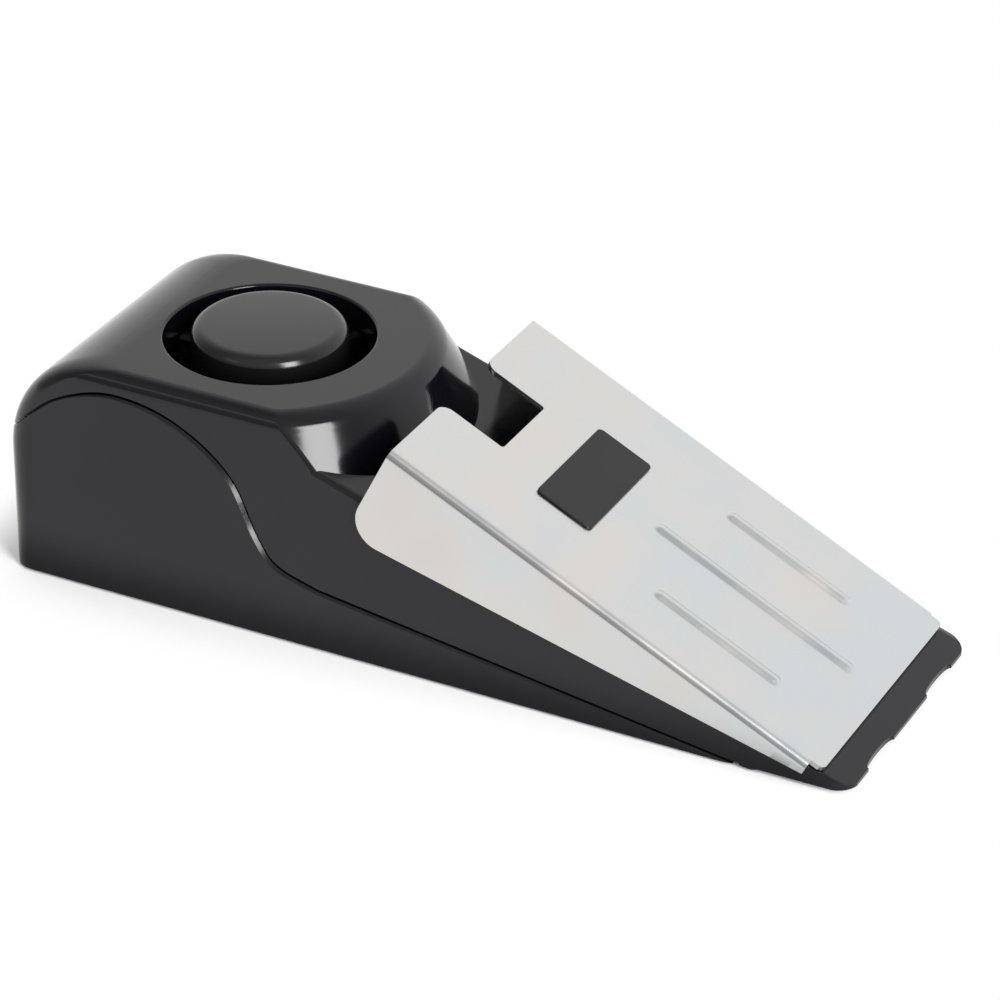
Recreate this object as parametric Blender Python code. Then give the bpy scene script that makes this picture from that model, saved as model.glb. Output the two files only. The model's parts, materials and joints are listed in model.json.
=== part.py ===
"""Door security alarm: a wedge that lies under a door and sounds when its steel plate is pressed.

Metres, +Z up. X runs along the wedge with the thin nose at +X, Y across it, and the origin is on
the surface that it stands on, under the middle of the case.
"""
import math

import bmesh
import bpy
from mathutils import Matrix, Vector

MM = 0.001

# Overall size of the case
LENGTH = 143.0 * MM
WIDTH = 46.0 * MM
TOP_Z = 39.0 * MM
CASE_BOTTOM_Z = 0.5 * MM
WALL = 2.0 * MM
FLOOR = 2.1 * MM
FIT_GAP = 0.3 * MM
SCREW_GAP = 0.15 * MM
OVERRUN = 3.0 * MM
CLEAN_CUT = 0.05 * MM
MERGE = 0.0001 * MM

# Raised block at the rear
REAR_ARC_RADIUS = 18.0 * MM
REAR_CORNER_RADIUS = 4.0 * MM
SIDE_FILLET = 3.0 * MM
SOUNDER_FROM_REAR = 34.7 * MM
PROW_RADIUS = 26.3 * MM
PROW_FLARE = 0.56
PROW_FILLET = 2.0 * MM

# Sloping deck and nose
DECK_FROM_SOUNDER = 20.9 * MM
DECK_REAR_FROM_REAR = SOUNDER_FROM_REAR + DECK_FROM_SOUNDER
DECK_BELOW_TOP = 7.6 * MM
DECK_REAR_Z = TOP_Z - DECK_BELOW_TOP
DECK_FRONT_FROM_NOSE = 4.6 * MM
DECK_FRONT_Z = 2.85 * MM
DECK_OVERLAP = 11.0 * MM
DECK_FILLET = 1.0 * MM
NOSE_TOP_Z = 1.5 * MM
NOSE_FRONT_Z = 1.15 * MM
NOSE_TIP_ROUND = 0.8 * MM
NOSE_BOTTOM_Z = 0.8 * MM
NOSE_CORNER_RADIUS = 3.5 * MM
NOSE_UNDERCUT_FROM_NOSE = 15.5 * MM
NOSE_STEP = 1.0 * MM
NOSE_SOLID = 31.0 * MM
NOSE_BAY_Y = 11.2 * MM
NOSE_BAY_HALF = 4.8 * MM
NOSE_BAY_DEPTH = 0.75 * MM

# Seam between the two case shells, as shares of the length and of the top's height
SEAM_CURVE_SHARES = (
    (0.0, 0.615), (0.014, 0.660), (0.037, 0.736), (0.069, 0.826), (0.112, 0.892), (0.151, 0.908),
    (0.200, 0.877), (0.249, 0.787), (0.286, 0.655), (0.313, 0.445), (0.337, 0.335), (0.385, 0.276),
)
SEAM_END_SHARE = (0.877, 0.018)
SEAM_GAP = 0.35 * MM

# Sounder well and cap
WELL_RADIUS = 16.4 * MM
WELL_DEPTH = 8.0 * MM
WELL_FLOOR_Z = TOP_Z - WELL_DEPTH
WELL_WALL = 1.6 * MM
SOUND_HOLE_RADIUS = 5.0 * MM
CAP_RADIUS = 12.2 * MM
CAP_THICKNESS = 7.4 * MM
CAP_PROUD = 2.1 * MM
CAP_ROUND = 2.0 * MM
WEB_COUNT = 6
WEB_WIDTH = 1.8 * MM
WEB_TOP_BELOW_RIM = 4.4 * MM
WEB_ROOT_RADIUS = 9.0 * MM

# Siren under the well
HOUSING_RADIUS = 14.5 * MM
HOUSING_WALL = 1.9 * MM
HOUSING_HEIGHT = 5.6 * MM
HOUSING_FLOOR = 0.8 * MM
PIEZO_RADIUS = 13.5 * MM
PIEZO_THICKNESS = 0.4 * MM
PIEZO_LEDGE_DEPTH = 1.4 * MM
CERAMIC_RADIUS = 9.5 * MM
CERAMIC_THICKNESS = 0.4 * MM
LEAD_NOTCH = 5.0 * MM

# Press plate, drawn flat: u runs from its rear edge to the nose, n is the depth below its top
PLATE_TILT = math.radians(26.3)
PLATE_LENGTH = 78.5 * MM
PLATE_THICKNESS = 0.8 * MM
PLATE_SIDE_GAP = 0.3 * MM
PLATE_BEND_RADIUS = 1.3 * MM
PLATE_CORNER_RADIUS = 1.2 * MM
FLANGE_REAR_DEPTH = 17.5 * MM
FLANGE_FRONT_DEPTH = 2.1 * MM
FLANGE_END_FROM_FRONT = 2.2 * MM
FLANGE_CORNER_RADIUS = 4.6 * MM
NOTCH_LENGTH = 11.3 * MM
NOTCH_HALF = 7.0 * MM
NOTCH_CORNER_RADIUS = 0.5 * MM
TAB_CORNER_RADIUS = 2.1 * MM
RIB_WIDTH = 2.4 * MM
RIB_HEIGHT = 0.6 * MM
CENTRE_RIB_START = 35.8 * MM
CENTRE_RIB_END = 73.1 * MM
SIDE_RIB_START = 42.5 * MM
SIDE_RIB_END = 66.0 * MM
SIDE_RIB_V = 12.9 * MM
LABEL_START = 19.5 * MM
LABEL_LENGTH = 10.0 * MM
LABEL_HALF = 10.7 * MM
LABEL_THICKNESS = 0.35 * MM
LABEL_GAP = 0.1 * MM
LABEL_CORNER_RADIUS = 0.8 * MM

# Hinge of the plate
HINGE_FROM_NOSE = 10.0 * MM
HINGE_Z = 2.9 * MM
HINGE_BELOW_PLATE_TOP = 3.4 * MM
HINGE_FROM_PLATE_FRONT = 4.7 * MM
PIN_RADIUS = 0.6 * MM
PIN_HALF_LENGTH = 17.0 * MM
EYE_RADIUS = 1.5 * MM
LUG_Y = 14.0 * MM
LUG_THICKNESS = 1.6 * MM
LUG_SWEEP_GAP = 0.8 * MM

# Plunger, its spring and the trigger switch
PLUNGER_FROM_REAR = 90.0 * MM
STEM_RADIUS = 2.5 * MM
PLUNGER_FLANGE_RADIUS = 5.0 * MM
PLUNGER_FLANGE_THICKNESS = 1.2 * MM
PLUNGER_TRAVEL = 4.9 * MM
PLUNGER_END_GAP = 0.2 * MM
COLLAR_WALL = 1.4 * MM
SPRING_RADIUS = 4.7 * MM
SPRING_WIRE_RADIUS = 0.3 * MM
SPRING_CURLS = 6
SPRING_POINTS_PER_CURL = 9
TACT_SIZE = 4.5 * MM
TACT_HEIGHT = 3.2 * MM
TACT_BUTTON_RADIUS = 1.2 * MM
TACT_BUTTON_PROUD = 0.8 * MM
TACT_BUTTON_DEPTH = 1.4 * MM
TACT_TRAVEL = 0.4 * MM

# Circuit board and what it carries
BOARD_START_FROM_REAR = 74.5 * MM
BOARD_LENGTH = 29.0 * MM
BOARD_HALF_WIDTH = 17.0 * MM
BOARD_STANDOFF = 1.0 * MM
BOARD_THICKNESS = 1.6 * MM
PART_INSET = 6.5 * MM
PART_Y = 9.5 * MM
COIL_RADIUS = 3.2 * MM
COIL_HEIGHT = 7.0 * MM
CAPACITOR_RADIUS = 2.5 * MM
CAPACITOR_HEIGHT = 8.0 * MM
CHIP_LENGTH = 6.0 * MM
CHIP_WIDTH = 5.0 * MM
CHIP_HEIGHT = 1.8 * MM
TRANSISTOR_RADIUS = 2.2 * MM
TRANSISTOR_HEIGHT = 4.6 * MM
BOARD_SCREW_INSET = 3.0 * MM
BOARD_SCREW_Y = 14.0 * MM
BOARD_POST_RADIUS = 2.2 * MM
BOARD_SCREW_RADIUS = 0.9 * MM
BOARD_SCREW_HEAD_RADIUS = 1.7 * MM
BOARD_SCREW_HEAD = 0.9 * MM
BOARD_SCREW_LENGTH = 3.4 * MM

# Battery, its snap, foam and door
BATTERY_FROM_REAR = 3.6 * MM
BATTERY_LENGTH = 46.4 * MM
BATTERY_WIDTH = 26.5 * MM
BATTERY_HEIGHT = 17.5 * MM
BATTERY_ROUND = 1.5 * MM
BATTERY_Z = CASE_BOTTOM_Z + FLOOR
TERMINAL_Y = 6.35 * MM
TERMINAL_LENGTH = 2.1 * MM
SMALL_TERMINAL_RADIUS = 2.8 * MM
LARGE_TERMINAL_RADIUS = 3.8 * MM
SNAP_THICKNESS = 3.4 * MM
SNAP_HALF_WIDTH = 12.4 * MM
SNAP_HEIGHT = 13.0 * MM
SNAP_SOCKET_DEPTH = 2.0 * MM
FOAM_LENGTH = 24.0 * MM
FOAM_HALF_WIDTH = 9.0 * MM
DOOR_HALF_WIDTH = 13.4 * MM
DOOR_TONGUE = 1.5 * MM
DOOR_TONGUE_THICKNESS = 0.5 * MM
DOOR_LENGTH = 58.0 * MM
DOOR_SINK = 0.15 * MM
DOOR_BOTTOM_Z = CASE_BOTTOM_Z + DOOR_SINK
DOOR_TOP_Z = BATTERY_Z - FIT_GAP
DOOR_GRIP_COUNT = 4
DOOR_GRIP_PITCH = 2.4 * MM
DOOR_GRIP_WIDTH = 1.0 * MM
DOOR_GRIP_DEPTH = 0.4 * MM
DOOR_GRIP_HALF = 6.0 * MM
DOOR_GRIP_FROM_END = 5.0 * MM

# Arming switch in the floor
SWITCH_FROM_REAR = 68.5 * MM
SWITCH_LENGTH = 9.0 * MM
SWITCH_WIDTH = 5.6 * MM
SWITCH_HEIGHT = 4.0 * MM
KNOB_LENGTH = 2.0 * MM
KNOB_WIDTH = 2.0 * MM
KNOB_TRAVEL = 2.5 * MM
KNOB_TIP_Z = 0.7 * MM
KNOB_TOP_Z = 4.6 * MM
SWITCH_POCKET_DEPTH = 1.0 * MM
SWITCH_POCKET_MARGIN = 1.6 * MM

# Screws that hold the shells together, driven from below
REAR_SCREW_FROM_REAR = 7.2 * MM
REAR_SCREW_FROM_SIDE = 5.5 * MM
REAR_SCREW_Y = WIDTH / 2 - REAR_SCREW_FROM_SIDE
FRONT_SCREW_FROM_REAR = 109.0 * MM
FRONT_SCREW_FROM_SIDE = 7.5 * MM
FRONT_SCREW_Y = WIDTH / 2 - FRONT_SCREW_FROM_SIDE
BOSS_RADIUS = 2.4 * MM
SCREW_RADIUS = 1.0 * MM
SCREW_LENGTH = 7.5 * MM
SCREW_HEAD_RADIUS = 1.8 * MM
SCREW_HEAD_THICKNESS = 0.9 * MM
SCREW_HEAD_SINK = 0.25 * MM
DRIVER_SLOT = 0.5 * MM
DRIVER_DEPTH = 0.45 * MM

# Rubber pads underneath
PAD_THICKNESS = 0.9 * MM
PAD_CORNER_RADIUS = 1.2 * MM
SIDE_PAD_START = 12.0 * MM
SIDE_PAD_LENGTH = 42.0 * MM
SIDE_PAD_INNER_Y = 16.4 * MM
SIDE_PAD_WIDTH = 4.2 * MM
NOSE_PAD_FROM_NOSE = 6.0 * MM
NOSE_PAD_THICKNESS = 1.3 * MM
NOSE_PAD_LENGTH = 7.6 * MM
NOSE_PAD_HALF_WIDTH = 18.5 * MM

# Leads
LEAD_RADIUS = 0.5 * MM
LEAD_STEP = 2.2 * MM
LEAD_SPACING = 3.0 * MM

# Facets of round shapes
ROUND_STEPS = 32
SMALL_ROUND_STEPS = 16
ARC_STEPS = 6
CORNER_STEPS = 4
FILLET_STEPS = 3
PROW_STEPS = 20
SEAM_STEPS = 3
BEND_STEPS = 3

# Places worked out from the sizes above
REAR_X = -LENGTH / 2
NOSE_X = LENGTH / 2
SOUNDER_X = REAR_X + SOUNDER_FROM_REAR
DECK_REAR_X = REAR_X + DECK_REAR_FROM_REAR
DECK_FRONT_X = NOSE_X - DECK_FRONT_FROM_NOSE
DECK_SLOPE = (DECK_REAR_Z - DECK_FRONT_Z) / (DECK_FRONT_X - DECK_REAR_X)
FLOOR_Z = CASE_BOTTOM_Z + FLOOR
HINGE = Vector((NOSE_X - HINGE_FROM_NOSE, 0.0, HINGE_Z))
PLATE_INNER_HALF = WIDTH / 2 + PLATE_SIDE_GAP
PLATE_OUTER_HALF = PLATE_INNER_HALF + PLATE_THICKNESS
PLATE_REAR_U = HINGE_FROM_PLATE_FRONT - PLATE_LENGTH
PLATE_TOP_N = HINGE_BELOW_PLATE_TOP
PLUNGER_X = REAR_X + PLUNGER_FROM_REAR
BOARD_REAR_X = REAR_X + BOARD_START_FROM_REAR
BOARD_FRONT_X = BOARD_REAR_X + BOARD_LENGTH
BOARD_Z = FLOOR_Z + BOARD_STANDOFF
BOARD_TOP_Z = BOARD_Z + BOARD_THICKNESS
ON_BOARD_Z = BOARD_TOP_Z + FIT_GAP
TACT_BUTTON_Z = ON_BOARD_Z + TACT_HEIGHT + TACT_BUTTON_PROUD
PLUNGER_FLANGE_Z = TACT_BUTTON_Z - TACT_TRAVEL + PLUNGER_TRAVEL + PLUNGER_END_GAP
BATTERY_X = REAR_X + BATTERY_FROM_REAR
BATTERY_FRONT_X = BATTERY_X + BATTERY_LENGTH
BATTERY_MID_Z = BATTERY_Z + BATTERY_HEIGHT / 2
SNAP_X = BATTERY_FRONT_X + TERMINAL_LENGTH + FIT_GAP - SNAP_SOCKET_DEPTH
HOUSING_TOP_Z = WELL_FLOOR_Z - WELL_WALL - FIT_GAP
HOUSING_Z = HOUSING_TOP_Z - HOUSING_HEIGHT
SWITCH_X = REAR_X + SWITCH_FROM_REAR
SWITCH_Z = FLOOR_Z + FIT_GAP
REAR_SCREW_X = REAR_X + REAR_SCREW_FROM_REAR
FRONT_SCREW_X = REAR_X + FRONT_SCREW_FROM_REAR
CASE_SCREW_PLACES = (
    (REAR_SCREW_X, REAR_SCREW_Y), (REAR_SCREW_X, -REAR_SCREW_Y),
    (FRONT_SCREW_X, FRONT_SCREW_Y), (FRONT_SCREW_X, -FRONT_SCREW_Y),
)
BOARD_SCREW_PLACES = (
    (BOARD_REAR_X + BOARD_SCREW_INSET, BOARD_SCREW_Y),
    (BOARD_FRONT_X - BOARD_SCREW_INSET, -BOARD_SCREW_Y),
)


def deck_z(x):
    """Height of the deck's top at x."""
    return DECK_FRONT_Z + (DECK_FRONT_X - x) * DECK_SLOPE


# Materials

def finish(name, colour, roughness, metallic=0.0):
    """Principled material with one colour."""
    material = bpy.data.materials.new(name)
    material.use_nodes = True
    shader = material.node_tree.nodes["Principled BSDF"]
    shader.inputs["Base Color"].default_value = (*colour, 1.0)
    shader.inputs["Roughness"].default_value = roughness
    shader.inputs["Metallic"].default_value = metallic
    material.diffuse_color = (*colour, 1.0)
    return material


def make_finishes():
    """Every finish of the object, by a maker's name."""
    return {
        "abs": finish("black_abs", (0.018, 0.017, 0.019), 0.32),
        "gloss": finish("glossy_black_abs", (0.012, 0.012, 0.013), 0.18),
        "steel": finish("satin_steel", (0.62, 0.61, 0.60), 0.36, 1.0),
        "label": finish("black_label_foil", (0.03, 0.031, 0.03), 0.45),
        "rubber": finish("black_rubber", (0.02, 0.02, 0.02), 0.85),
        "brass": finish("brass_sheet", (0.75, 0.55, 0.22), 0.3, 1.0),
        "ceramic": finish("piezo_ceramic", (0.72, 0.70, 0.64), 0.5),
        "board": finish("green_circuit_board", (0.02, 0.16, 0.06), 0.45),
        "zinc": finish("zinc_plated_steel", (0.55, 0.55, 0.56), 0.35, 1.0),
        "spring": finish("spring_steel", (0.5, 0.5, 0.5), 0.3, 1.0),
        "acetal": finish("white_acetal", (0.78, 0.77, 0.74), 0.4),
        "button": finish("black_switch_plastic", (0.03, 0.03, 0.03), 0.5),
        "copper": finish("enamelled_copper", (0.45, 0.15, 0.05), 0.35, 1.0),
        "sleeve": finish("capacitor_sleeve", (0.03, 0.06, 0.16), 0.4),
        "foam": finish("grey_foam", (0.2, 0.2, 0.2), 0.95),
        "battery": finish("battery_can", (0.16, 0.16, 0.17), 0.35, 1.0),
        "red": finish("red_insulation", (0.5, 0.02, 0.02), 0.5),
        "black": finish("black_insulation", (0.02, 0.02, 0.02), 0.5),
    }


# Solids

def new_object(name, bm):
    """Object from a bmesh, with its faces turned outwards."""
    bmesh.ops.remove_doubles(bm, verts=bm.verts, dist=MERGE)
    bmesh.ops.recalc_face_normals(bm, faces=bm.faces)
    mesh = bpy.data.meshes.new(name)
    bm.to_mesh(mesh)
    bm.free()
    body = bpy.data.objects.new(name, mesh)
    bpy.context.collection.objects.link(body)
    return body


def prism(name, corners, rise):
    """Solid swept from a flat outline of 3-D corners along the vector rise."""
    bm = bmesh.new()
    face = bm.faces.new([bm.verts.new(corner) for corner in corners])
    grown = bmesh.ops.extrude_face_region(bm, geom=[face])
    moved = [item for item in grown["geom"] if isinstance(item, bmesh.types.BMVert)]
    bmesh.ops.translate(bm, verts=moved, vec=rise)
    return new_object(name, bm)


def side_prism(name, outline, half_width):
    """Solid with a side view of (x, z) points, reaching half_width each way in Y."""
    corners = [(x, -half_width, z) for x, z in outline]
    return prism(name, corners, (0.0, 2 * half_width, 0.0))


def plan_prism(name, outline, low_z, high_z):
    """Solid with a plan of (x, y) points between two heights."""
    corners = [(x, y, low_z) for x, y in outline]
    return prism(name, corners, (0.0, 0.0, high_z - low_z))


def box(name, low, high):
    """Rectangular block between two corners."""
    outline = ((low[0], low[1]), (high[0], low[1]), (high[0], high[1]), (low[0], high[1]))
    return plan_prism(name, outline, low[2], high[2])


def loft(name, rings):
    """Solid through a stack of rings with equal numbers of points."""
    bm = bmesh.new()
    rows = [[bm.verts.new(point) for point in ring] for ring in rings]
    count = len(rows[0])
    for lower, upper in zip(rows, rows[1:]):
        for i in range(count):
            j = (i + 1) % count
            bm.faces.new((lower[i], lower[j], upper[j], upper[i]))
    bm.faces.new(rows[0])
    bm.faces.new(rows[-1])
    return new_object(name, bm)


def turned(name, profile, centre=(0.0, 0.0), steps=ROUND_STEPS):
    """Solid turned from (radius, z) points about the vertical axis through centre."""
    bm = bmesh.new()
    rings = []
    for radius, z in profile:
        count = steps if radius > 0 else 1
        turns = [math.tau * i / count for i in range(count)]
        rings.append([
            bm.verts.new((centre[0] + radius * math.cos(a), centre[1] + radius * math.sin(a), z))
            for a in turns
        ])
    pairs = list(zip(rings, rings[1:]))
    if profile[0][0] > 0:
        pairs.append((rings[-1], rings[0]))
    for lower, upper in pairs:
        for i in range(max(len(lower), len(upper))):
            j = (i + 1) % steps
            corners = [lower[i % len(lower)], lower[j % len(lower)]]
            corners += [upper[j % len(upper)], upper[i % len(upper)]]
            if len(lower) > 1 or len(upper) > 1:
                bm.faces.new(dict.fromkeys(corners))
    return new_object(name, bm)


def cylinder(name, radius, low_z, high_z, centre=(0.0, 0.0), steps=ROUND_STEPS):
    """Upright round bar."""
    profile = ((0.0, low_z), (radius, low_z), (radius, high_z), (0.0, high_z))
    return turned(name, profile, centre, steps)


def cross_bar(name, radius, x, z, low_y, high_y, steps=SMALL_ROUND_STEPS):
    """Round bar lying across the case."""
    turns = [math.tau * i / steps for i in range(steps)]
    corners = [(x + radius * math.cos(a), low_y, z + radius * math.sin(a)) for a in turns]
    return prism(name, corners, (0.0, high_y - low_y, 0.0))


def combine(body, tool, operation):
    """Add, cut or intersect body with a tool, which is used up."""
    step = body.modifiers.new("combine", "BOOLEAN")
    step.operation = operation
    step.solver = "EXACT"
    step.object = tool
    depsgraph = bpy.context.evaluated_depsgraph_get()
    bm = bmesh.new()
    bm.from_object(body, depsgraph)
    bmesh.ops.remove_doubles(bm, verts=bm.verts, dist=MERGE)
    bmesh.ops.dissolve_degenerate(bm, edges=bm.edges, dist=MERGE)
    body.modifiers.clear()
    bm.to_mesh(body.data)
    bm.free()
    bpy.data.objects.remove(tool)
    return body


def cut(body, *tools):
    """Take tools away from body."""
    for tool in tools:
        combine(body, tool, "DIFFERENCE")
    return body


def add(body, *tools):
    """Join tools to body."""
    for tool in tools:
        combine(body, tool, "UNION")
    return body


def arc(centre_a, centre_b, radius, start, end, steps):
    """Points of an arc in a plane, both ends included."""
    turns = [start + (end - start) * i / steps for i in range(steps + 1)]
    return [(centre_a + radius * math.cos(a), centre_b + radius * math.sin(a)) for a in turns]


def rounded_rectangle(low_a, low_b, high_a, high_b, radius, steps=CORNER_STEPS):
    """Rectangle outline with four round corners."""
    quarter = math.pi / 2
    places = (
        (high_a - radius, high_b - radius, 0), (low_a + radius, high_b - radius, 1),
        (low_a + radius, low_b + radius, 2), (high_a - radius, low_b + radius, 3),
    )
    points = []
    for a, b, turn in places:
        points += arc(a, b, radius, turn * quarter, (turn + 1) * quarter, steps)
    return points


def smooth_through(points, steps):
    """Catmull-Rom curve through points, with steps pieces between each pair."""
    ends = [2 * points[0] - points[1], *points, 2 * points[-1] - points[-2]]
    curve = []
    for before, start, end, after in zip(ends, ends[1:], ends[2:], ends[3:]):
        for i in range(steps):
            t = i / steps
            bend = (end - before) * t
            bend += (2 * before - 5 * start + 4 * end - after) * t ** 2
            bend += (3 * start - before - 3 * end + after) * t ** 3
            curve.append(start + bend / 2)
    curve.append(points[-1])
    return curve


# Outer and inner form of the case

def block_outline(z, inset):
    """Plan of the raised block at height z, drawn in by inset."""
    half = WIDTH / 2 - inset
    fillet_start = TOP_Z - SIDE_FILLET
    if z > fillet_start:
        half -= SIDE_FILLET - math.sqrt(max(SIDE_FILLET ** 2 - (z - fillet_start) ** 2, 0.0))
    rear = REAR_X + inset
    arc_start = TOP_Z - REAR_ARC_RADIUS
    if z > arc_start:
        radius = REAR_ARC_RADIUS - inset
        rise = min(z - arc_start, radius)
        rear += radius - math.sqrt(radius ** 2 - rise ** 2)
    prow = PROW_RADIUS - inset + PROW_FLARE * (TOP_Z - z)
    prow_start = TOP_Z - PROW_FILLET
    if z > prow_start:
        prow -= PROW_FILLET - math.sqrt(max(PROW_FILLET ** 2 - (z - prow_start) ** 2, 0.0))
    corner = REAR_CORNER_RADIUS - inset / 2
    side = math.asin(half / prow)
    points = arc(SOUNDER_X, 0.0, prow, -side, side, PROW_STEPS)
    points += arc(rear + corner, half - corner, corner, math.pi / 2, math.pi, CORNER_STEPS)
    points += arc(rear + corner, corner - half, corner, math.pi, 1.5 * math.pi, CORNER_STEPS)
    return points


def block_levels(low_z, top_z, inset):
    """Heights at which the block's form changes."""
    levels = {low_z, top_z}
    radius = REAR_ARC_RADIUS - inset
    for i in range(ARC_STEPS + 1):
        levels.add(TOP_Z - REAR_ARC_RADIUS + radius * math.sin(math.pi / 2 * i / ARC_STEPS))
    for fillet in (SIDE_FILLET, PROW_FILLET):
        for i in range(FILLET_STEPS + 1):
            levels.add(TOP_Z - fillet + fillet * math.sin(math.pi / 2 * i / FILLET_STEPS))
    return sorted(z for z in levels if low_z <= z <= top_z)


def block(name, low_z, inset):
    """Raised block, or the space inside it when inset by the wall."""
    top_z = TOP_Z - inset
    levels = [low_z]
    for z in block_levels(low_z, top_z, inset):
        if z - levels[-1] > FIT_GAP:
            levels.append(z)
    levels[-1] = top_z
    return loft(name, [[(x, y, z) for x, y in block_outline(z, inset)] for z in levels])


def wedge(name):
    """Sloping front half with its thin nose."""
    deck_start = DECK_REAR_X - DECK_OVERLAP
    step_x = NOSE_X - NOSE_UNDERCUT_FROM_NOSE
    tip = NOSE_TIP_ROUND
    outline = [(deck_start, CASE_BOTTOM_Z), (deck_start, deck_z(deck_start))]
    outline += [(NOSE_X - tip, NOSE_TOP_Z), (NOSE_X - tip / 4, (NOSE_TOP_Z + NOSE_FRONT_Z) / 2)]
    outline += [(NOSE_X, NOSE_FRONT_Z), (NOSE_X, NOSE_BOTTOM_Z)]
    outline += [(step_x + NOSE_STEP, NOSE_BOTTOM_Z), (step_x, CASE_BOTTOM_Z)]
    body = side_prism(name, outline, WIDTH / 2)
    bm = bmesh.new()
    bm.from_mesh(body.data)
    edges = [e for e in bm.edges if is_deck_side(e, deck_start)]
    bmesh.ops.bevel(
        bm, geom=edges, offset=DECK_FILLET, segments=FILLET_STEPS, profile=0.5, affect="EDGES")
    bm.to_mesh(body.data)
    bm.free()
    return cut(body, *front_corners(NOSE_X, WIDTH / 2, NOSE_CORNER_RADIUS))


def front_corners(front, half, radius):
    """Tools that round the two front corners of a piece in plan."""
    tools = []
    for side in (-1, 1):
        centre_x = front - radius + CLEAN_CUT
        centre_y = half - radius + CLEAN_CUT
        curve = arc(centre_x, centre_y, radius, 0.0, math.pi / 2, CORNER_STEPS)
        curve += [
            (centre_x, half + OVERRUN), (front + OVERRUN, half + OVERRUN),
            (front + OVERRUN, centre_y),
        ]
        outline = [(x, side * y) for x, y in curve]
        tools.append(plan_prism("front_corner", outline, -TOP_Z, TOP_Z))
    return tools


def is_deck_side(edge, deck_start):
    """Whether an edge runs along one side of the deck's top."""
    ends = sorted((vert.co for vert in edge.verts), key=lambda co: co.x)
    starts_high = ends[0].x <= deck_start + MERGE and ends[0].z > DECK_REAR_Z
    return starts_high and ends[1].x > DECK_REAR_X and ends[1].z > NOSE_FRONT_Z


def case_form():
    """Whole outer form of both shells together."""
    return add(block("case_form", CASE_BOTTOM_Z, 0.0), wedge("wedge_form"))


def case_space():
    """Hollow inside both shells."""
    under = WALL * math.sqrt(1 + DECK_SLOPE ** 2)
    start = DECK_REAR_X - DECK_OVERLAP
    end = NOSE_X - NOSE_SOLID
    outline = (
        (start, FLOOR_Z), (start, deck_z(start) - under), (end, deck_z(end) - under), (end, FLOOR_Z))
    space = block("case_space", FLOOR_Z, WALL)
    return add(space, side_prism("wedge_space", outline, WIDTH / 2 - WALL))


def seam_line(drop):
    """Seam seen from the side, lowered by drop."""
    points = [Vector((REAR_X + LENGTH * a, TOP_Z * b - drop)) for a, b in SEAM_CURVE_SHARES]
    curve = smooth_through(points, SEAM_STEPS)
    end = Vector((REAR_X + LENGTH * SEAM_END_SHARE[0], TOP_Z * SEAM_END_SHARE[1] - drop))
    slope = (end - curve[-1]) / (end - curve[-1]).length
    return [curve[0] - Vector((OVERRUN, 0.0)), *curve, end, end + slope * LENGTH]


def above_seam():
    """Tool that keeps what lies above the seam."""
    line = seam_line(0.0)
    corners = [Vector((line[-1].x, TOP_Z + OVERRUN)), Vector((line[0].x, TOP_Z + OVERRUN))]
    return side_prism("above_seam", line + corners, WIDTH)


def below_seam():
    """Tool that keeps what lies below the seam and its gap."""
    line = seam_line(SEAM_GAP)
    corners = [Vector((line[-1].x, line[-1].y - OVERRUN)), Vector((line[0].x, line[-1].y - OVERRUN))]
    return side_prism("below_seam", line + corners, WIDTH)


# Case shells

def screw_boss(place):
    """Tall boss of the upper case for one screw."""
    return cylinder("boss", BOSS_RADIUS, FLOOR_Z + FIT_GAP, TOP_Z, place, SMALL_ROUND_STEPS)


def plunger_collar():
    """Guide tube of the upper case round the plunger."""
    low_z = PLUNGER_FLANGE_Z + PLUNGER_FLANGE_THICKNESS + FIT_GAP
    radius = STEM_RADIUS + FIT_GAP + COLLAR_WALL
    return cylinder("collar", radius, low_z, deck_z(PLUNGER_X), (PLUNGER_X, 0.0))


def nose_cuts():
    """Pad recess, pin groove, lug slots and front bays of the nose."""
    pad_front = NOSE_X - NOSE_PAD_FROM_NOSE + FIT_GAP
    pad_rear = pad_front - NOSE_PAD_LENGTH - 2 * FIT_GAP
    pad_half = NOSE_PAD_HALF_WIDTH + FIT_GAP
    recess_z = NOSE_PAD_THICKNESS + FIT_GAP
    cuts = [box("recess", (pad_rear, -pad_half, -OVERRUN), (pad_front, pad_half, recess_z))]
    side = PIN_RADIUS + SCREW_GAP
    half = PIN_HALF_LENGTH + FIT_GAP
    top = HINGE.z + PIN_RADIUS + SCREW_GAP
    cuts.append(box("groove", (HINGE.x - side, -half, -OVERRUN), (HINGE.x + side, half, top)))
    reach = EYE_RADIUS + LUG_SWEEP_GAP
    for side_y in (-LUG_Y, LUG_Y):
        half = LUG_THICKNESS / 2 + FIT_GAP
        low = (HINGE.x - reach, side_y - half, -OVERRUN)
        cuts.append(box("slot", low, (HINGE.x + reach, side_y + half, TOP_Z)))
    for side_y in (-NOSE_BAY_Y, NOSE_BAY_Y):
        cuts.append(plan_prism("bay", bay_outline(side_y), -OVERRUN, TOP_Z))
    return cuts


def bay_outline(side_y):
    """Plan of one shallow bay between the feet of the nose's front edge."""
    turns = [math.pi * i / SMALL_ROUND_STEPS for i in range(SMALL_ROUND_STEPS + 1)]
    curve = [
        (NOSE_X - NOSE_BAY_DEPTH * math.sqrt(math.sin(a)), side_y + NOSE_BAY_HALF * math.cos(a))
        for a in turns[1:-1]
    ]
    high = (NOSE_X + OVERRUN, side_y + NOSE_BAY_HALF)
    low = (NOSE_X + OVERRUN, side_y - NOSE_BAY_HALF)
    return [low, high, *curve]


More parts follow.
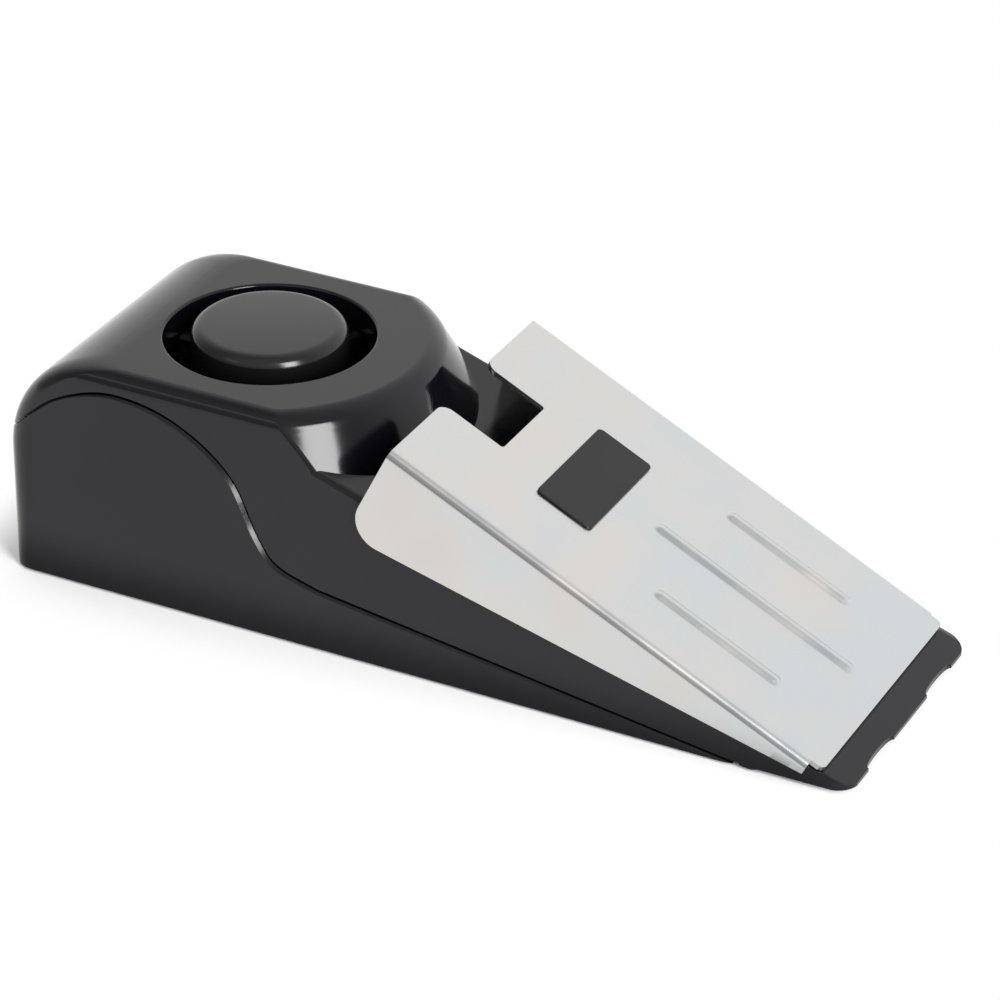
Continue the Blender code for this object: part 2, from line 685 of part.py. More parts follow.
def upper_case():
    """Black shell with the sounder well, the deck and the nose."""
    shell = cut(case_form(), case_space())
    shell.name = "upper_case"
    combine(shell, above_seam(), "INTERSECT")
    centre = (SOUNDER_X, 0.0)
    posts = screw_boss(CASE_SCREW_PLACES[0])
    for place in CASE_SCREW_PLACES[1:]:
        add(posts, screw_boss(place))
    add(posts, plunger_collar())
    low = WELL_FLOOR_Z - WELL_WALL
    add(posts, cylinder("well_wall", WELL_RADIUS + WELL_WALL, low, TOP_Z - WALL / 2, centre))
    combine(posts, case_form(), "INTERSECT")
    add(shell, posts)
    cut(shell, cylinder("well", WELL_RADIUS, WELL_FLOOR_Z, TOP_Z + OVERRUN, centre))
    cut(shell, cylinder("sound", SOUND_HOLE_RADIUS, HOUSING_TOP_Z, TOP_Z, centre))
    cut(shell, cylinder("bore", STEM_RADIUS + FIT_GAP, FLOOR_Z, TOP_Z, (PLUNGER_X, 0.0)))
    pilot = SCREW_RADIUS + SCREW_GAP
    for place in CASE_SCREW_PLACES:
        depth = CASE_BOTTOM_Z + SCREW_LENGTH + SCREW_HEAD_SINK + FIT_GAP
        cut(shell, cylinder("pilot", pilot, -OVERRUN, depth, place, SMALL_ROUND_STEPS))
    return cut(shell, *nose_cuts())


def door_cuts():
    """Opening, side grooves and rear notch for the battery door."""
    rear = REAR_X - OVERRUN
    front = REAR_X + DOOR_LENGTH + FIT_GAP
    half = DOOR_HALF_WIDTH + FIT_GAP
    groove_half = half + DOOR_TONGUE
    mid = (DOOR_BOTTOM_Z + DOOR_TOP_Z) / 2
    reach = DOOR_TONGUE_THICKNESS / 2 + FIT_GAP
    opening_z = FLOOR_Z + FIT_GAP
    notch_z = DOOR_TOP_Z + FIT_GAP
    return (
        box("opening", (REAR_X + WALL, -half, -OVERRUN), (front, half, opening_z)),
        box("notch", (rear, -half, -OVERRUN), (REAR_X + 2 * WALL, half, notch_z)),
        box("grooves", (rear, -groove_half, mid - reach), (front, groove_half, mid + reach)),
    )


def switch_cuts():
    """Slot for the arming knob and the pocket round it."""
    slot_x = KNOB_LENGTH / 2 + FIT_GAP
    slot_y = KNOB_WIDTH / 2 + FIT_GAP
    pocket_x = slot_x + SWITCH_POCKET_MARGIN
    pocket_y = slot_y + SWITCH_POCKET_MARGIN
    knob_x = SWITCH_X - KNOB_TRAVEL / 2
    top = CASE_BOTTOM_Z + SWITCH_POCKET_DEPTH
    outline = rounded_rectangle(
        knob_x - pocket_x, -pocket_y, knob_x + KNOB_TRAVEL + pocket_x, pocket_y, SWITCH_POCKET_MARGIN / 2)
    slot_high = (knob_x + KNOB_TRAVEL + slot_x, slot_y, FLOOR_Z + OVERRUN)
    return (
        plan_prism("pocket", outline, -OVERRUN, top),
        box("slot", (knob_x - slot_x, -slot_y, -OVERRUN), slot_high),
    )


def side_pad_outline(side, grow):
    """Plan of one long pad beside the battery door."""
    inner = SIDE_PAD_INNER_Y - grow
    outer = SIDE_PAD_INNER_Y + SIDE_PAD_WIDTH + grow
    low_y, high_y = sorted((side * inner, side * outer))
    start = REAR_X + SIDE_PAD_START - grow
    end = REAR_X + SIDE_PAD_START + SIDE_PAD_LENGTH + grow
    return rounded_rectangle(start, low_y, end, high_y, PAD_CORNER_RADIUS)


def lower_case():
    """Black tray that holds the battery, the board and the switches."""
    shell = cut(case_form(), case_space())
    shell.name = "lower_case"
    combine(shell, below_seam(), "INTERSECT")
    for place in BOARD_SCREW_PLACES:
        low = FLOOR_Z - FLOOR / 2
        post = cylinder("post", BOARD_POST_RADIUS, low, BOARD_Z - FIT_GAP, place, SMALL_ROUND_STEPS)
        add(shell, post)
        hole = BOARD_SCREW_RADIUS + SCREW_GAP
        low = BOARD_TOP_Z + FIT_GAP - BOARD_SCREW_LENGTH - FIT_GAP
        cut(shell, cylinder("pilot", hole, low, BOARD_Z, place, SMALL_ROUND_STEPS))
    for place in CASE_SCREW_PLACES:
        hole = SCREW_RADIUS + SCREW_GAP
        seat = CASE_BOTTOM_Z + SCREW_HEAD_SINK + SCREW_HEAD_THICKNESS + FIT_GAP
        head = SCREW_HEAD_RADIUS + FIT_GAP
        cut(shell, cylinder("hole", hole, -OVERRUN, BOARD_Z, place, SMALL_ROUND_STEPS))
        cut(shell, cylinder("seat", head, -OVERRUN, seat, place, SMALL_ROUND_STEPS))
    for side in (-1, 1):
        outline = side_pad_outline(side, FIT_GAP)
        cut(shell, plan_prism("recess", outline, -OVERRUN, PAD_THICKNESS + FIT_GAP))
    return cut(shell, *door_cuts(), *switch_cuts())


# Press plate

def plate_section(half, depth):
    """Section of the bent sheet, as (v, n) points: outer skin, then inner skin."""
    top = PLATE_TOP_N
    outer = PLATE_BEND_RADIUS
    inner = PLATE_BEND_RADIUS - PLATE_THICKNESS
    quarter = math.pi / 2
    centre = half - outer
    skin = [(-half, top - depth)]
    skin += arc(-centre, top - outer, outer, 2 * quarter, quarter, BEND_STEPS)
    skin += arc(centre, top - outer, outer, quarter, 0.0, BEND_STEPS)
    skin += [(half, top - depth), (half - PLATE_THICKNESS, top - depth)]
    skin += arc(centre, top - outer, inner, 0.0, quarter, BEND_STEPS)
    skin += arc(-centre, top - outer, inner, quarter, 2 * quarter, BEND_STEPS)
    skin += [(PLATE_THICKNESS - half, top - depth)]
    return skin


def plate_stations():
    """Places along the plate where its width or its flanges' depth changes: (u, half, depth)."""
    rear = PLATE_REAR_U
    front = HINGE_FROM_PLATE_FRONT
    end = front - FLANGE_END_FROM_FRONT
    half = PLATE_OUTER_HALF
    fall = (FLANGE_REAR_DEPTH - FLANGE_FRONT_DEPTH) / (end - rear)
    radius = FLANGE_CORNER_RADIUS
    drop = FLANGE_REAR_DEPTH - fall * radius - radius / math.cos(math.atan(fall))
    turn = math.pi / 2 + math.atan(fall)
    stations = [
        (u, half, drop - rise)
        for u, rise in arc(rear + radius, 0.0, radius, math.pi, math.pi + turn, ARC_STEPS)
    ]
    return stations + [(end, half, FLANGE_FRONT_DEPTH), (front, half, FLANGE_FRONT_DEPTH)]


def flange_reliefs():
    """Tools that leave only the flat sheet in front of the side flanges."""
    start = HINGE_FROM_PLATE_FRONT - FLANGE_END_FROM_FRONT
    end = HINGE_FROM_PLATE_FRONT + OVERRUN
    low = PLATE_TOP_N - FLANGE_FRONT_DEPTH - OVERRUN
    high = PLATE_TOP_N + OVERRUN
    sides = (PLATE_OUTER_HALF - PLATE_BEND_RADIUS, PLATE_OUTER_HALF + OVERRUN)
    return (
        box("relief", (start, sides[0], low), (end, sides[1], high)),
        box("relief", (start, -sides[1], low), (end, -sides[0], high)),
    )


def notch_outline():
    """Rear notch of the plate, with round inner corners and rounded tabs beside its mouth."""
    rear = PLATE_REAR_U
    quarter = math.pi / 2
    mouth = rear + TAB_CORNER_RADIUS - CLEAN_CUT
    inner = rear + NOTCH_LENGTH - NOTCH_CORNER_RADIUS
    side = NOTCH_HALF - NOTCH_CORNER_RADIUS
    reach = NOTCH_HALF + TAB_CORNER_RADIUS
    tab = TAB_CORNER_RADIUS
    points = [(rear - OVERRUN, -reach)]
    points += arc(mouth, -reach, tab, 2 * quarter, quarter, CORNER_STEPS)
    points += arc(inner, -side, NOTCH_CORNER_RADIUS, -quarter, 0.0, CORNER_STEPS)
    points += arc(inner, side, NOTCH_CORNER_RADIUS, 0.0, quarter, CORNER_STEPS)
    points += arc(mouth, reach, tab, -quarter, -2 * quarter, CORNER_STEPS)
    return [*points, (rear - OVERRUN, reach)]


def rib(start, end, v):
    """Pressed rib that stands up from the plate, with round sloping ends."""
    low = PLATE_TOP_N - PLATE_THICKNESS / 2
    half = RIB_WIDTH / 2
    foot = rounded_rectangle(start, v - half, end, v + half, half - MERGE, ARC_STEPS)
    crown_half = half / 2
    crown = rounded_rectangle(
        start + half, v - crown_half, end - half, v + crown_half, crown_half - MERGE, ARC_STEPS)
    top = PLATE_TOP_N + RIB_HEIGHT
    rings = (
        [(x, y, low) for x, y in foot], [(x, y, PLATE_TOP_N) for x, y in foot],
        [(x, y, top) for x, y in crown],
    )
    return loft("rib", rings)


def lug(side_y):
    """Eye under the plate's front that turns on the hinge pin."""
    top = PLATE_TOP_N - PLATE_THICKNESS / 2
    outline = arc(0.0, 0.0, EYE_RADIUS, math.pi, math.tau, SMALL_ROUND_STEPS // 2)
    outline += [(EYE_RADIUS, top), (-EYE_RADIUS, top)]
    low_y = side_y - LUG_THICKNESS / 2
    corners = [(u, low_y, n) for u, n in outline]
    return prism("lug", corners, (0.0, LUG_THICKNESS, 0.0))


def press_plate():
    """Bent steel plate over the deck, turning on the hinge pin."""
    rings = [[(u, v, n) for v, n in plate_section(half, depth)] for u, half, depth in plate_stations()]
    body = loft("press_plate", rings)
    cut(body, *flange_reliefs())
    flat_half = PLATE_OUTER_HALF - PLATE_BEND_RADIUS
    cut(body, *front_corners(HINGE_FROM_PLATE_FRONT, flat_half, PLATE_CORNER_RADIUS))
    low = PLATE_TOP_N - PLATE_THICKNESS - OVERRUN
    cut(body, plan_prism("notch", notch_outline(), low, PLATE_TOP_N + OVERRUN))
    start = PLATE_REAR_U
    add(body, rib(start + CENTRE_RIB_START, start + CENTRE_RIB_END, 0.0))
    for v in (-SIDE_RIB_V, SIDE_RIB_V):
        add(body, rib(start + SIDE_RIB_START, start + SIDE_RIB_END, v))
    for side_y in (-LUG_Y, LUG_Y):
        add(body, lug(side_y))
        half = LUG_THICKNESS
        cut(body, cross_bar("eye", PIN_RADIUS + SCREW_GAP, 0.0, 0.0, side_y - half, side_y + half))
    body.location = HINGE
    body.rotation_euler = (0.0, PLATE_TILT, 0.0)
    return body


def plate_label():
    """Thin bare plate on the press plate."""
    start = PLATE_REAR_U + LABEL_START
    low = PLATE_TOP_N + LABEL_GAP
    outline = rounded_rectangle(
        start, -LABEL_HALF, start + LABEL_LENGTH, LABEL_HALF, LABEL_CORNER_RADIUS)
    body = plan_prism("plate_label", outline, low, low + LABEL_THICKNESS)
    body.location = HINGE
    body.rotation_euler = (0.0, PLATE_TILT, 0.0)
    return body


def hinge_pin():
    """Steel pin across the nose."""
    return cross_bar("hinge_pin", PIN_RADIUS, HINGE.x, HINGE.z, -PIN_HALF_LENGTH, PIN_HALF_LENGTH)


# Sounder

def sounder_cap():
    """Round cap in the well, on six webs."""
    top = TOP_Z + CAP_PROUD
    inner = CAP_RADIUS - CAP_ROUND
    profile = [(0.0, top - CAP_THICKNESS), (CAP_RADIUS, top - CAP_THICKNESS)]
    profile += arc(inner, top - CAP_ROUND, CAP_ROUND, 0.0, math.pi / 2, FILLET_STEPS)
    profile += [(0.0, top)]
    body = turned("sounder_cap", profile, (SOUNDER_X, 0.0))
    high = TOP_Z - WEB_TOP_BELOW_RIM
    low = WELL_FLOOR_Z + FIT_GAP
    reach = WELL_RADIUS - FIT_GAP
    for i in range(WEB_COUNT):
        web = box("web", (WEB_ROOT_RADIUS, -WEB_WIDTH / 2, low), (reach, WEB_WIDTH / 2, high))
        web.location = (SOUNDER_X, 0.0, 0.0)
        web.rotation_euler = (0.0, 0.0, math.tau * i / WEB_COUNT)
        add(body, web)
    return body


def sounder_housing():
    """Round cup that holds the piezo disc under the well."""
    inner = HOUSING_RADIUS - HOUSING_WALL
    seat = PIEZO_RADIUS + FIT_GAP
    ledge = HOUSING_TOP_Z - PIEZO_LEDGE_DEPTH
    floor = HOUSING_Z + HOUSING_FLOOR
    profile = (
        (0.0, HOUSING_Z), (HOUSING_RADIUS, HOUSING_Z), (HOUSING_RADIUS, HOUSING_TOP_Z),
        (seat, HOUSING_TOP_Z), (seat, ledge), (inner, ledge), (inner, floor), (0.0, floor),
    )
    body = turned("sounder_housing", profile, (SOUNDER_X, 0.0))
    low = (SOUNDER_X, -LEAD_NOTCH / 2, floor)
    high = (SOUNDER_X + HOUSING_RADIUS + OVERRUN, LEAD_NOTCH / 2, ledge - FIT_GAP)
    return cut(body, box("lead_notch", low, high))


def piezo_disc():
    """Brass disc of the siren."""
    low = HOUSING_TOP_Z - PIEZO_LEDGE_DEPTH + FIT_GAP
    return cylinder("piezo_disc", PIEZO_RADIUS, low, low + PIEZO_THICKNESS, (SOUNDER_X, 0.0))


def piezo_ceramic():
    """Ceramic wafer under the brass disc."""
    high = HOUSING_TOP_Z - PIEZO_LEDGE_DEPTH
    return cylinder(
        "piezo_ceramic", CERAMIC_RADIUS, high - CERAMIC_THICKNESS, high, (SOUNDER_X, 0.0))


# Plunger and trigger switch

def plunger():
    """Stem that carries the plate's push down to the trigger switch."""
    centre_z = dome_centre_z()
    flange_top = PLUNGER_FLANGE_Z + PLUNGER_FLANGE_THICKNESS
    profile = [
        (0.0, PLUNGER_FLANGE_Z), (PLUNGER_FLANGE_RADIUS, PLUNGER_FLANGE_Z),
        (PLUNGER_FLANGE_RADIUS, flange_top), (STEM_RADIUS, flange_top),
    ]
    profile += arc(0.0, centre_z, STEM_RADIUS, 0.0, math.pi / 2, ARC_STEPS)[:-1]
    profile += [(0.0, centre_z + STEM_RADIUS)]
    body = turned("plunger", profile, (0.0, 0.0), ROUND_STEPS)
    body.location = (PLUNGER_X, 0.0, 0.0)
    return body


def dome_centre_z():
    """Height of the dome's centre, with its crown just clear of the plate above it."""
    under = PLATE_TOP_N - PLATE_THICKNESS - FIT_GAP - STEM_RADIUS
    run = HINGE.x - PLUNGER_X
    return HINGE.z + run * math.tan(PLATE_TILT) + under / math.cos(PLATE_TILT)


def tube(name, points, radius, resolution):
    """Round wire along points, with closed ends."""
    curve = bpy.data.curves.new(name, "CURVE")
    curve.dimensions = "3D"
    curve.bevel_depth = radius
    curve.bevel_resolution = resolution
    curve.use_fill_caps = True
    spline = curve.splines.new("POLY")
    spline.points.add(len(points) - 1)
    for place, point in zip(spline.points, points):
        place.co = (*point, 1.0)
    body = bpy.data.objects.new(name, curve)
    bpy.context.collection.objects.link(body)
    return body


def return_spring():
    """Coil spring under the plunger's flange, round the trigger switch."""
    low = BOARD_TOP_Z + FIT_GAP + SPRING_WIRE_RADIUS
    high = PLUNGER_FLANGE_Z - FIT_GAP - SPRING_WIRE_RADIUS
    count = SPRING_CURLS * SPRING_POINTS_PER_CURL
    points = []
    for i in range(count + 1):
        turn = math.tau * i / SPRING_POINTS_PER_CURL
        x = PLUNGER_X + SPRING_RADIUS * math.cos(turn)
        y = SPRING_RADIUS * math.sin(turn)
        points.append(Vector((x, y, low + (high - low) * i / count)))
    print("return_spring least gap between curls, mm:", round(least_gap(points) / MM, 3))
    return tube("return_spring", points, SPRING_WIRE_RADIUS, 1)


def least_gap(points):
    """Smallest clear space between points of different curls of the spring."""
    skip = SPRING_POINTS_PER_CURL // 2
    gaps = [
        (a - b).length for i, a in enumerate(points) for b in points[i + skip:]
    ]
    return min(gaps) - 2 * SPRING_WIRE_RADIUS


def tact_switch():
    """Square trigger switch on the board."""
    half = TACT_SIZE / 2
    high = ON_BOARD_Z + TACT_HEIGHT
    body = box(
        "tact_switch", (PLUNGER_X - half, -half, ON_BOARD_Z), (PLUNGER_X + half, half, high))
    low = TACT_BUTTON_Z - TACT_BUTTON_DEPTH - TACT_TRAVEL - FIT_GAP
    hole = cylinder(
        "hole", TACT_BUTTON_RADIUS + FIT_GAP, low, high + OVERRUN, (PLUNGER_X, 0.0), SMALL_ROUND_STEPS)
    return cut(body, hole)


def tact_button():
    """Small round button of the trigger switch."""
    low = TACT_BUTTON_Z - TACT_BUTTON_DEPTH
    body = cylinder(
        "tact_button", TACT_BUTTON_RADIUS, low, TACT_BUTTON_Z, (0.0, 0.0), SMALL_ROUND_STEPS)
    body.location = (PLUNGER_X, 0.0, 0.0)
    return body


# Circuit board

def circuit_board():
    """Board on two posts of the lower case."""
    half = BOARD_HALF_WIDTH
    body = box("circuit_board", (BOARD_REAR_X, -half, BOARD_Z), (BOARD_FRONT_X, half, BOARD_TOP_Z))
    hole = BOARD_SCREW_RADIUS + FIT_GAP
    for place in BOARD_SCREW_PLACES:
        cut(body, cylinder("hole", hole, 0.0, TOP_Z, place, SMALL_ROUND_STEPS))
    return body


def board_parts():
    """Coil, capacitor, chip and transistor on the board."""
    rear_x = BOARD_REAR_X + PART_INSET
    front_x = BOARD_FRONT_X - PART_INSET
    low = ON_BOARD_Z
    steps = SMALL_ROUND_STEPS
    coil = cylinder("driver_coil", COIL_RADIUS, low, low + COIL_HEIGHT, (rear_x, PART_Y), steps)
    capacitor = cylinder(
        "capacitor", CAPACITOR_RADIUS, low, low + CAPACITOR_HEIGHT, (rear_x, -PART_Y), steps)
    chip = box(
        "driver_chip", (front_x - CHIP_WIDTH / 2, PART_Y - CHIP_LENGTH / 2, low),
        (front_x + CHIP_WIDTH / 2, PART_Y + CHIP_LENGTH / 2, low + CHIP_HEIGHT))
    flat = arc(front_x, -PART_Y, TRANSISTOR_RADIUS, -math.pi * 3 / 4, math.pi * 3 / 4, steps)
    transistor = plan_prism("transistor", flat, low, low + TRANSISTOR_HEIGHT)
    return coil, capacitor, chip, transistor


def screw(name, place, seat_z, rise, shank, head, head_thickness, length):
    """Round-headed screw; rise is 1 with its head below and -1 with its head above."""
    under = seat_z - rise * head_thickness
    end = under + rise * length
    profile = [(0.0, under), (head, under), (head, seat_z), (shank, seat_z), (shank, end), (0.0, end)]
    body = turned(name, profile, place, SMALL_ROUND_STEPS)
    for turn in (0.0, math.pi / 2):
        depth = under + rise * DRIVER_DEPTH
        low, high = sorted((under - rise * OVERRUN, depth))
        slot = box("driver", (-head / 2, -DRIVER_SLOT / 2, low), (head / 2, DRIVER_SLOT / 2, high))
        slot.location = (place[0], place[1], 0.0)
        slot.rotation_euler = (0.0, 0.0, turn)
        cut(body, slot)
    return body


def board_screws():
    """Two screws that hold the board."""
    seat = BOARD_TOP_Z + FIT_GAP
    length = BOARD_SCREW_LENGTH + BOARD_SCREW_HEAD
    return [
        screw(f"board_screw_{i + 1}", place, seat, -1, BOARD_SCREW_RADIUS,
              BOARD_SCREW_HEAD_RADIUS, BOARD_SCREW_HEAD, length)
        for i, place in enumerate(BOARD_SCREW_PLACES)
    ]


def case_screws():
    """Four screws that hold the shells together."""
    seat = CASE_BOTTOM_Z + SCREW_HEAD_SINK + SCREW_HEAD_THICKNESS
    return [
        screw(f"case_screw_{i + 1}", place, seat, 1, SCREW_RADIUS,
              SCREW_HEAD_RADIUS, SCREW_HEAD_THICKNESS, SCREW_LENGTH)
        for i, place in enumerate(CASE_SCREW_PLACES)
    ]


# Battery

def lying_bar(name, radius, low_x, high_x, y, z, steps=SMALL_ROUND_STEPS):
    """Round bar lying along the case."""
    turns = [math.tau * i / steps for i in range(steps)]
    corners = [(low_x, y + radius * math.cos(a), z + radius * math.sin(a)) for a in turns]
    return prism(name, corners, (high_x - low_x, 0.0, 0.0))


def battery():
    """Block battery with its two studs."""
    half = BATTERY_WIDTH / 2
    outline = rounded_rectangle(-half, BATTERY_Z, half, BATTERY_Z + BATTERY_HEIGHT, BATTERY_ROUND, 2)
    corners = [(BATTERY_X, y, z) for y, z in outline]
    body = prism("battery", corners, (BATTERY_LENGTH, 0.0, 0.0))
    root = BATTERY_FRONT_X - WALL
    tip = BATTERY_FRONT_X + TERMINAL_LENGTH
    studs = ((SMALL_TERMINAL_RADIUS, TERMINAL_Y), (LARGE_TERMINAL_RADIUS, -TERMINAL_Y))
    for radius, y in studs:
        add(body, lying_bar("stud", radius, root, tip, y, BATTERY_MID_Z))
    return body


def battery_snap():
    """Snap plate with a socket round each stud."""
    half = SNAP_HALF_WIDTH
    low = BATTERY_MID_Z - SNAP_HEIGHT / 2
    body = box(
        "battery_snap", (SNAP_X, -half, low), (SNAP_X + SNAP_THICKNESS, half, low + SNAP_HEIGHT))
    studs = ((SMALL_TERMINAL_RADIUS, TERMINAL_Y), (LARGE_TERMINAL_RADIUS, -TERMINAL_Y))
    for radius, y in studs:
        end = SNAP_X + SNAP_SOCKET_DEPTH
        cut(body, lying_bar("socket", radius + FIT_GAP, SNAP_X - OVERRUN, end, y, BATTERY_MID_Z))
    return body


def battery_foam():
    """Foam between the battery and the siren."""
    half = FOAM_HALF_WIDTH
    low = BATTERY_Z + BATTERY_HEIGHT + FIT_GAP
    high = HOUSING_Z - FIT_GAP
    x = SOUNDER_X - FOAM_LENGTH / 2
    return box("battery_foam", (x, -half, low), (x + FOAM_LENGTH, half, high))


def battery_door():
    """Sliding door in the bottom, with tongues along its sides and finger grooves."""
    rear = REAR_X + FIT_GAP
    front = REAR_X + DOOR_LENGTH
    half = DOOR_HALF_WIDTH
    body = box("battery_door", (rear, -half, DOOR_BOTTOM_Z), (front, half, DOOR_TOP_Z))
    mid = (DOOR_BOTTOM_Z + DOOR_TOP_Z) / 2
    reach = DOOR_TONGUE_THICKNESS / 2
    side = half + DOOR_TONGUE
    add(body, box("tongues", (rear, -side, mid - reach), (front, side, mid + reach)))
    for i in range(DOOR_GRIP_COUNT):
        x = rear + DOOR_GRIP_FROM_END + DOOR_GRIP_PITCH * i
        low = (x, -DOOR_GRIP_HALF, -OVERRUN)
        high = (x + DOOR_GRIP_WIDTH, DOOR_GRIP_HALF, DOOR_BOTTOM_Z + DOOR_GRIP_DEPTH)
        cut(body, box("grip", low, high))
    return body


# Arming switch

def slide_switch_body():
    """Body of the arming switch, on the floor of the lower case."""
    half_x = SWITCH_LENGTH / 2
    half_y = SWITCH_WIDTH / 2
    body = box(
        "slide_switch_body", (SWITCH_X - half_x, -half_y, SWITCH_Z),
        (SWITCH_X + half_x, half_y, SWITCH_Z + SWITCH_HEIGHT))
    slot_x = (KNOB_TRAVEL + KNOB_LENGTH) / 2 + FIT_GAP
    slot_y = KNOB_WIDTH / 2 + FIT_GAP
    low = (SWITCH_X - slot_x, -slot_y, 0.0)
    return cut(body, box("slot", low, (SWITCH_X + slot_x, slot_y, KNOB_TOP_Z + FIT_GAP)))


def slide_switch_knob():
    """Knob of the arming switch, reached from below."""
    x = SWITCH_X - KNOB_TRAVEL / 2
    half_x = KNOB_LENGTH / 2
    half_y = KNOB_WIDTH / 2
    body = box("slide_switch_knob", (-half_x, -half_y, KNOB_TIP_Z), (half_x, half_y, KNOB_TOP_Z))
    body.location = (x, 0.0, 0.0)
    return body


# Rubber pads

def grip_pads():
    """Rubber pads under the nose and beside the battery door."""
    front = NOSE_X - NOSE_PAD_FROM_NOSE
    half = NOSE_PAD_HALF_WIDTH
    outline = rounded_rectangle(front - NOSE_PAD_LENGTH, -half, front, half, PAD_CORNER_RADIUS)
    pads = [plan_prism("grip_pad_front", outline, 0.0, NOSE_PAD_THICKNESS)]
    for name, side in (("grip_pad_left", 1), ("grip_pad_right", -1)):
        pads.append(plan_prism(name, side_pad_outline(side, 0.0), 0.0, PAD_THICKNESS))
    return pads


# Leads

def lead(name, route):
    """Insulated lead along a smooth route."""
    points = [Vector(point) for point in route]
    span = sum((b - a).length for a, b in zip(points, points[1:]))
    steps = max(round(span / LEAD_STEP / (len(points) - 1)), 1)
    return tube(name, smooth_through(points, steps), LEAD_RADIUS, 2)


def leads():
    """Battery, siren and switch leads, each to its own place on the board."""
    snap_x = SNAP_X + SNAP_THICKNESS + FIT_GAP
    board_x = BOARD_REAR_X + LEAD_SPACING
    pad_z = BOARD_TOP_Z + FIT_GAP
    made = []
    for name, side in (("battery_lead_red", 1), ("battery_lead_black", -1)):
        y = side * SNAP_HALF_WIDTH / 2
        made.append(lead(name, (
            (snap_x, y, BATTERY_MID_Z),
            (snap_x + LEAD_SPACING, y, BATTERY_MID_Z),
            (board_x - LEAD_SPACING / 2, y, BATTERY_MID_Z - LEAD_SPACING / 2),
            (board_x, y, pad_z + LEAD_SPACING),
            (board_x, y, pad_z),
        )))
    notch_z = HOUSING_Z + HOUSING_FLOOR + LEAD_NOTCH / 4
    housing_x = SOUNDER_X + HOUSING_RADIUS
    for name, side in (("piezo_lead_red", 1), ("piezo_lead_black", -1)):
        y = side * LEAD_SPACING / 2
        made.append(lead(name, (
            (SOUNDER_X + CERAMIC_RADIUS - LEAD_SPACING, y, notch_z),
            (SOUNDER_X + CERAMIC_RADIUS, y, notch_z),
            (housing_x + LEAD_SPACING, y, notch_z),
            (snap_x + LEAD_SPACING, y, notch_z - LEAD_SPACING),
            (board_x + LEAD_SPACING / 2, y, BATTERY_MID_Z + LEAD_SPACING),
            (board_x + LEAD_SPACING, y, pad_z + LEAD_SPACING),
            (board_x + LEAD_SPACING, y, pad_z),
        )))
    switch_top = SWITCH_Z + SWITCH_HEIGHT + FIT_GAP
    for i, side in enumerate((1, -1)):
        y = side * LEAD_SPACING / 2
        far_y = side * LEAD_SPACING
        made.append(lead(f"switch_lead_{i + 1}", (
            (SWITCH_X, y, switch_top),
            (SWITCH_X, y, switch_top + LEAD_SPACING / 2),
            (SWITCH_X + LEAD_SPACING, far_y, switch_top + LEAD_SPACING),
            (board_x - LEAD_SPACING / 3, far_y, pad_z + LEAD_SPACING),
            (board_x - LEAD_SPACING / 3, far_y, pad_z),
        )))
    return made


# Whole object

def dress(body, material, smooth_angle=math.radians(35)):
    """Give a piece its material and shade its round faces smooth."""
    body.data.materials.clear()
    body.data.materials.append(material)
    if body.type == "MESH":
        body.data.shade_smooth()
        body.data.set_sharp_from_angle(angle=smooth_angle)


def main():
    """Build every piece."""
    for old in list(bpy.data.objects):
        bpy.data.objects.remove(old)
    finishes = make_finishes()
    dress(upper_case(), finishes["abs"])
    dress(lower_case(), finishes["abs"])
    dress(press_plate(), finishes["steel"])
    dress(plate_label(), finishes["label"])
    dress(hinge_pin(), finishes["zinc"])
    dress(sounder_cap(), finishes["gloss"])
    dress(sounder_housing(), finishes["button"])
    dress(piezo_disc(), finishes["brass"])
    dress(piezo_ceramic(), finishes["ceramic"])
    dress(plunger(), finishes["acetal"])
    dress(return_spring(), finishes["spring"])
    dress(tact_switch(), finishes["zinc"])
    dress(tact_button(), finishes["button"])
    dress(circuit_board(), finishes["board"])
    for body, key in zip(board_parts(), ("copper", "sleeve", "button", "button")):
        dress(body, finishes[key])
    for body in board_screws() + case_screws():
        dress(body, finishes["zinc"])
    dress(battery(), finishes["battery"])
    dress(battery_snap(), finishes["black"])
    dress(battery_foam(), finishes["foam"])
    dress(battery_door(), finishes["abs"])
    dress(slide_switch_body(), finishes["zinc"])
    dress(slide_switch_knob(), finishes["button"])
    for body in grip_pads():
        dress(body, finishes["rubber"])
    for body in leads():
        dress(body, finishes["red" if body.name.endswith(("red", "1")) else "black"])


main()
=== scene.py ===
"""Looks of the door security alarm: black moulded shells, a satin steel press plate and a round sounder.

Metres, +Z up. X runs along the wedge with the thin nose at +X and Y across it.
"""
import json
import math

import bmesh
import bpy
from mathutils import Matrix, Vector


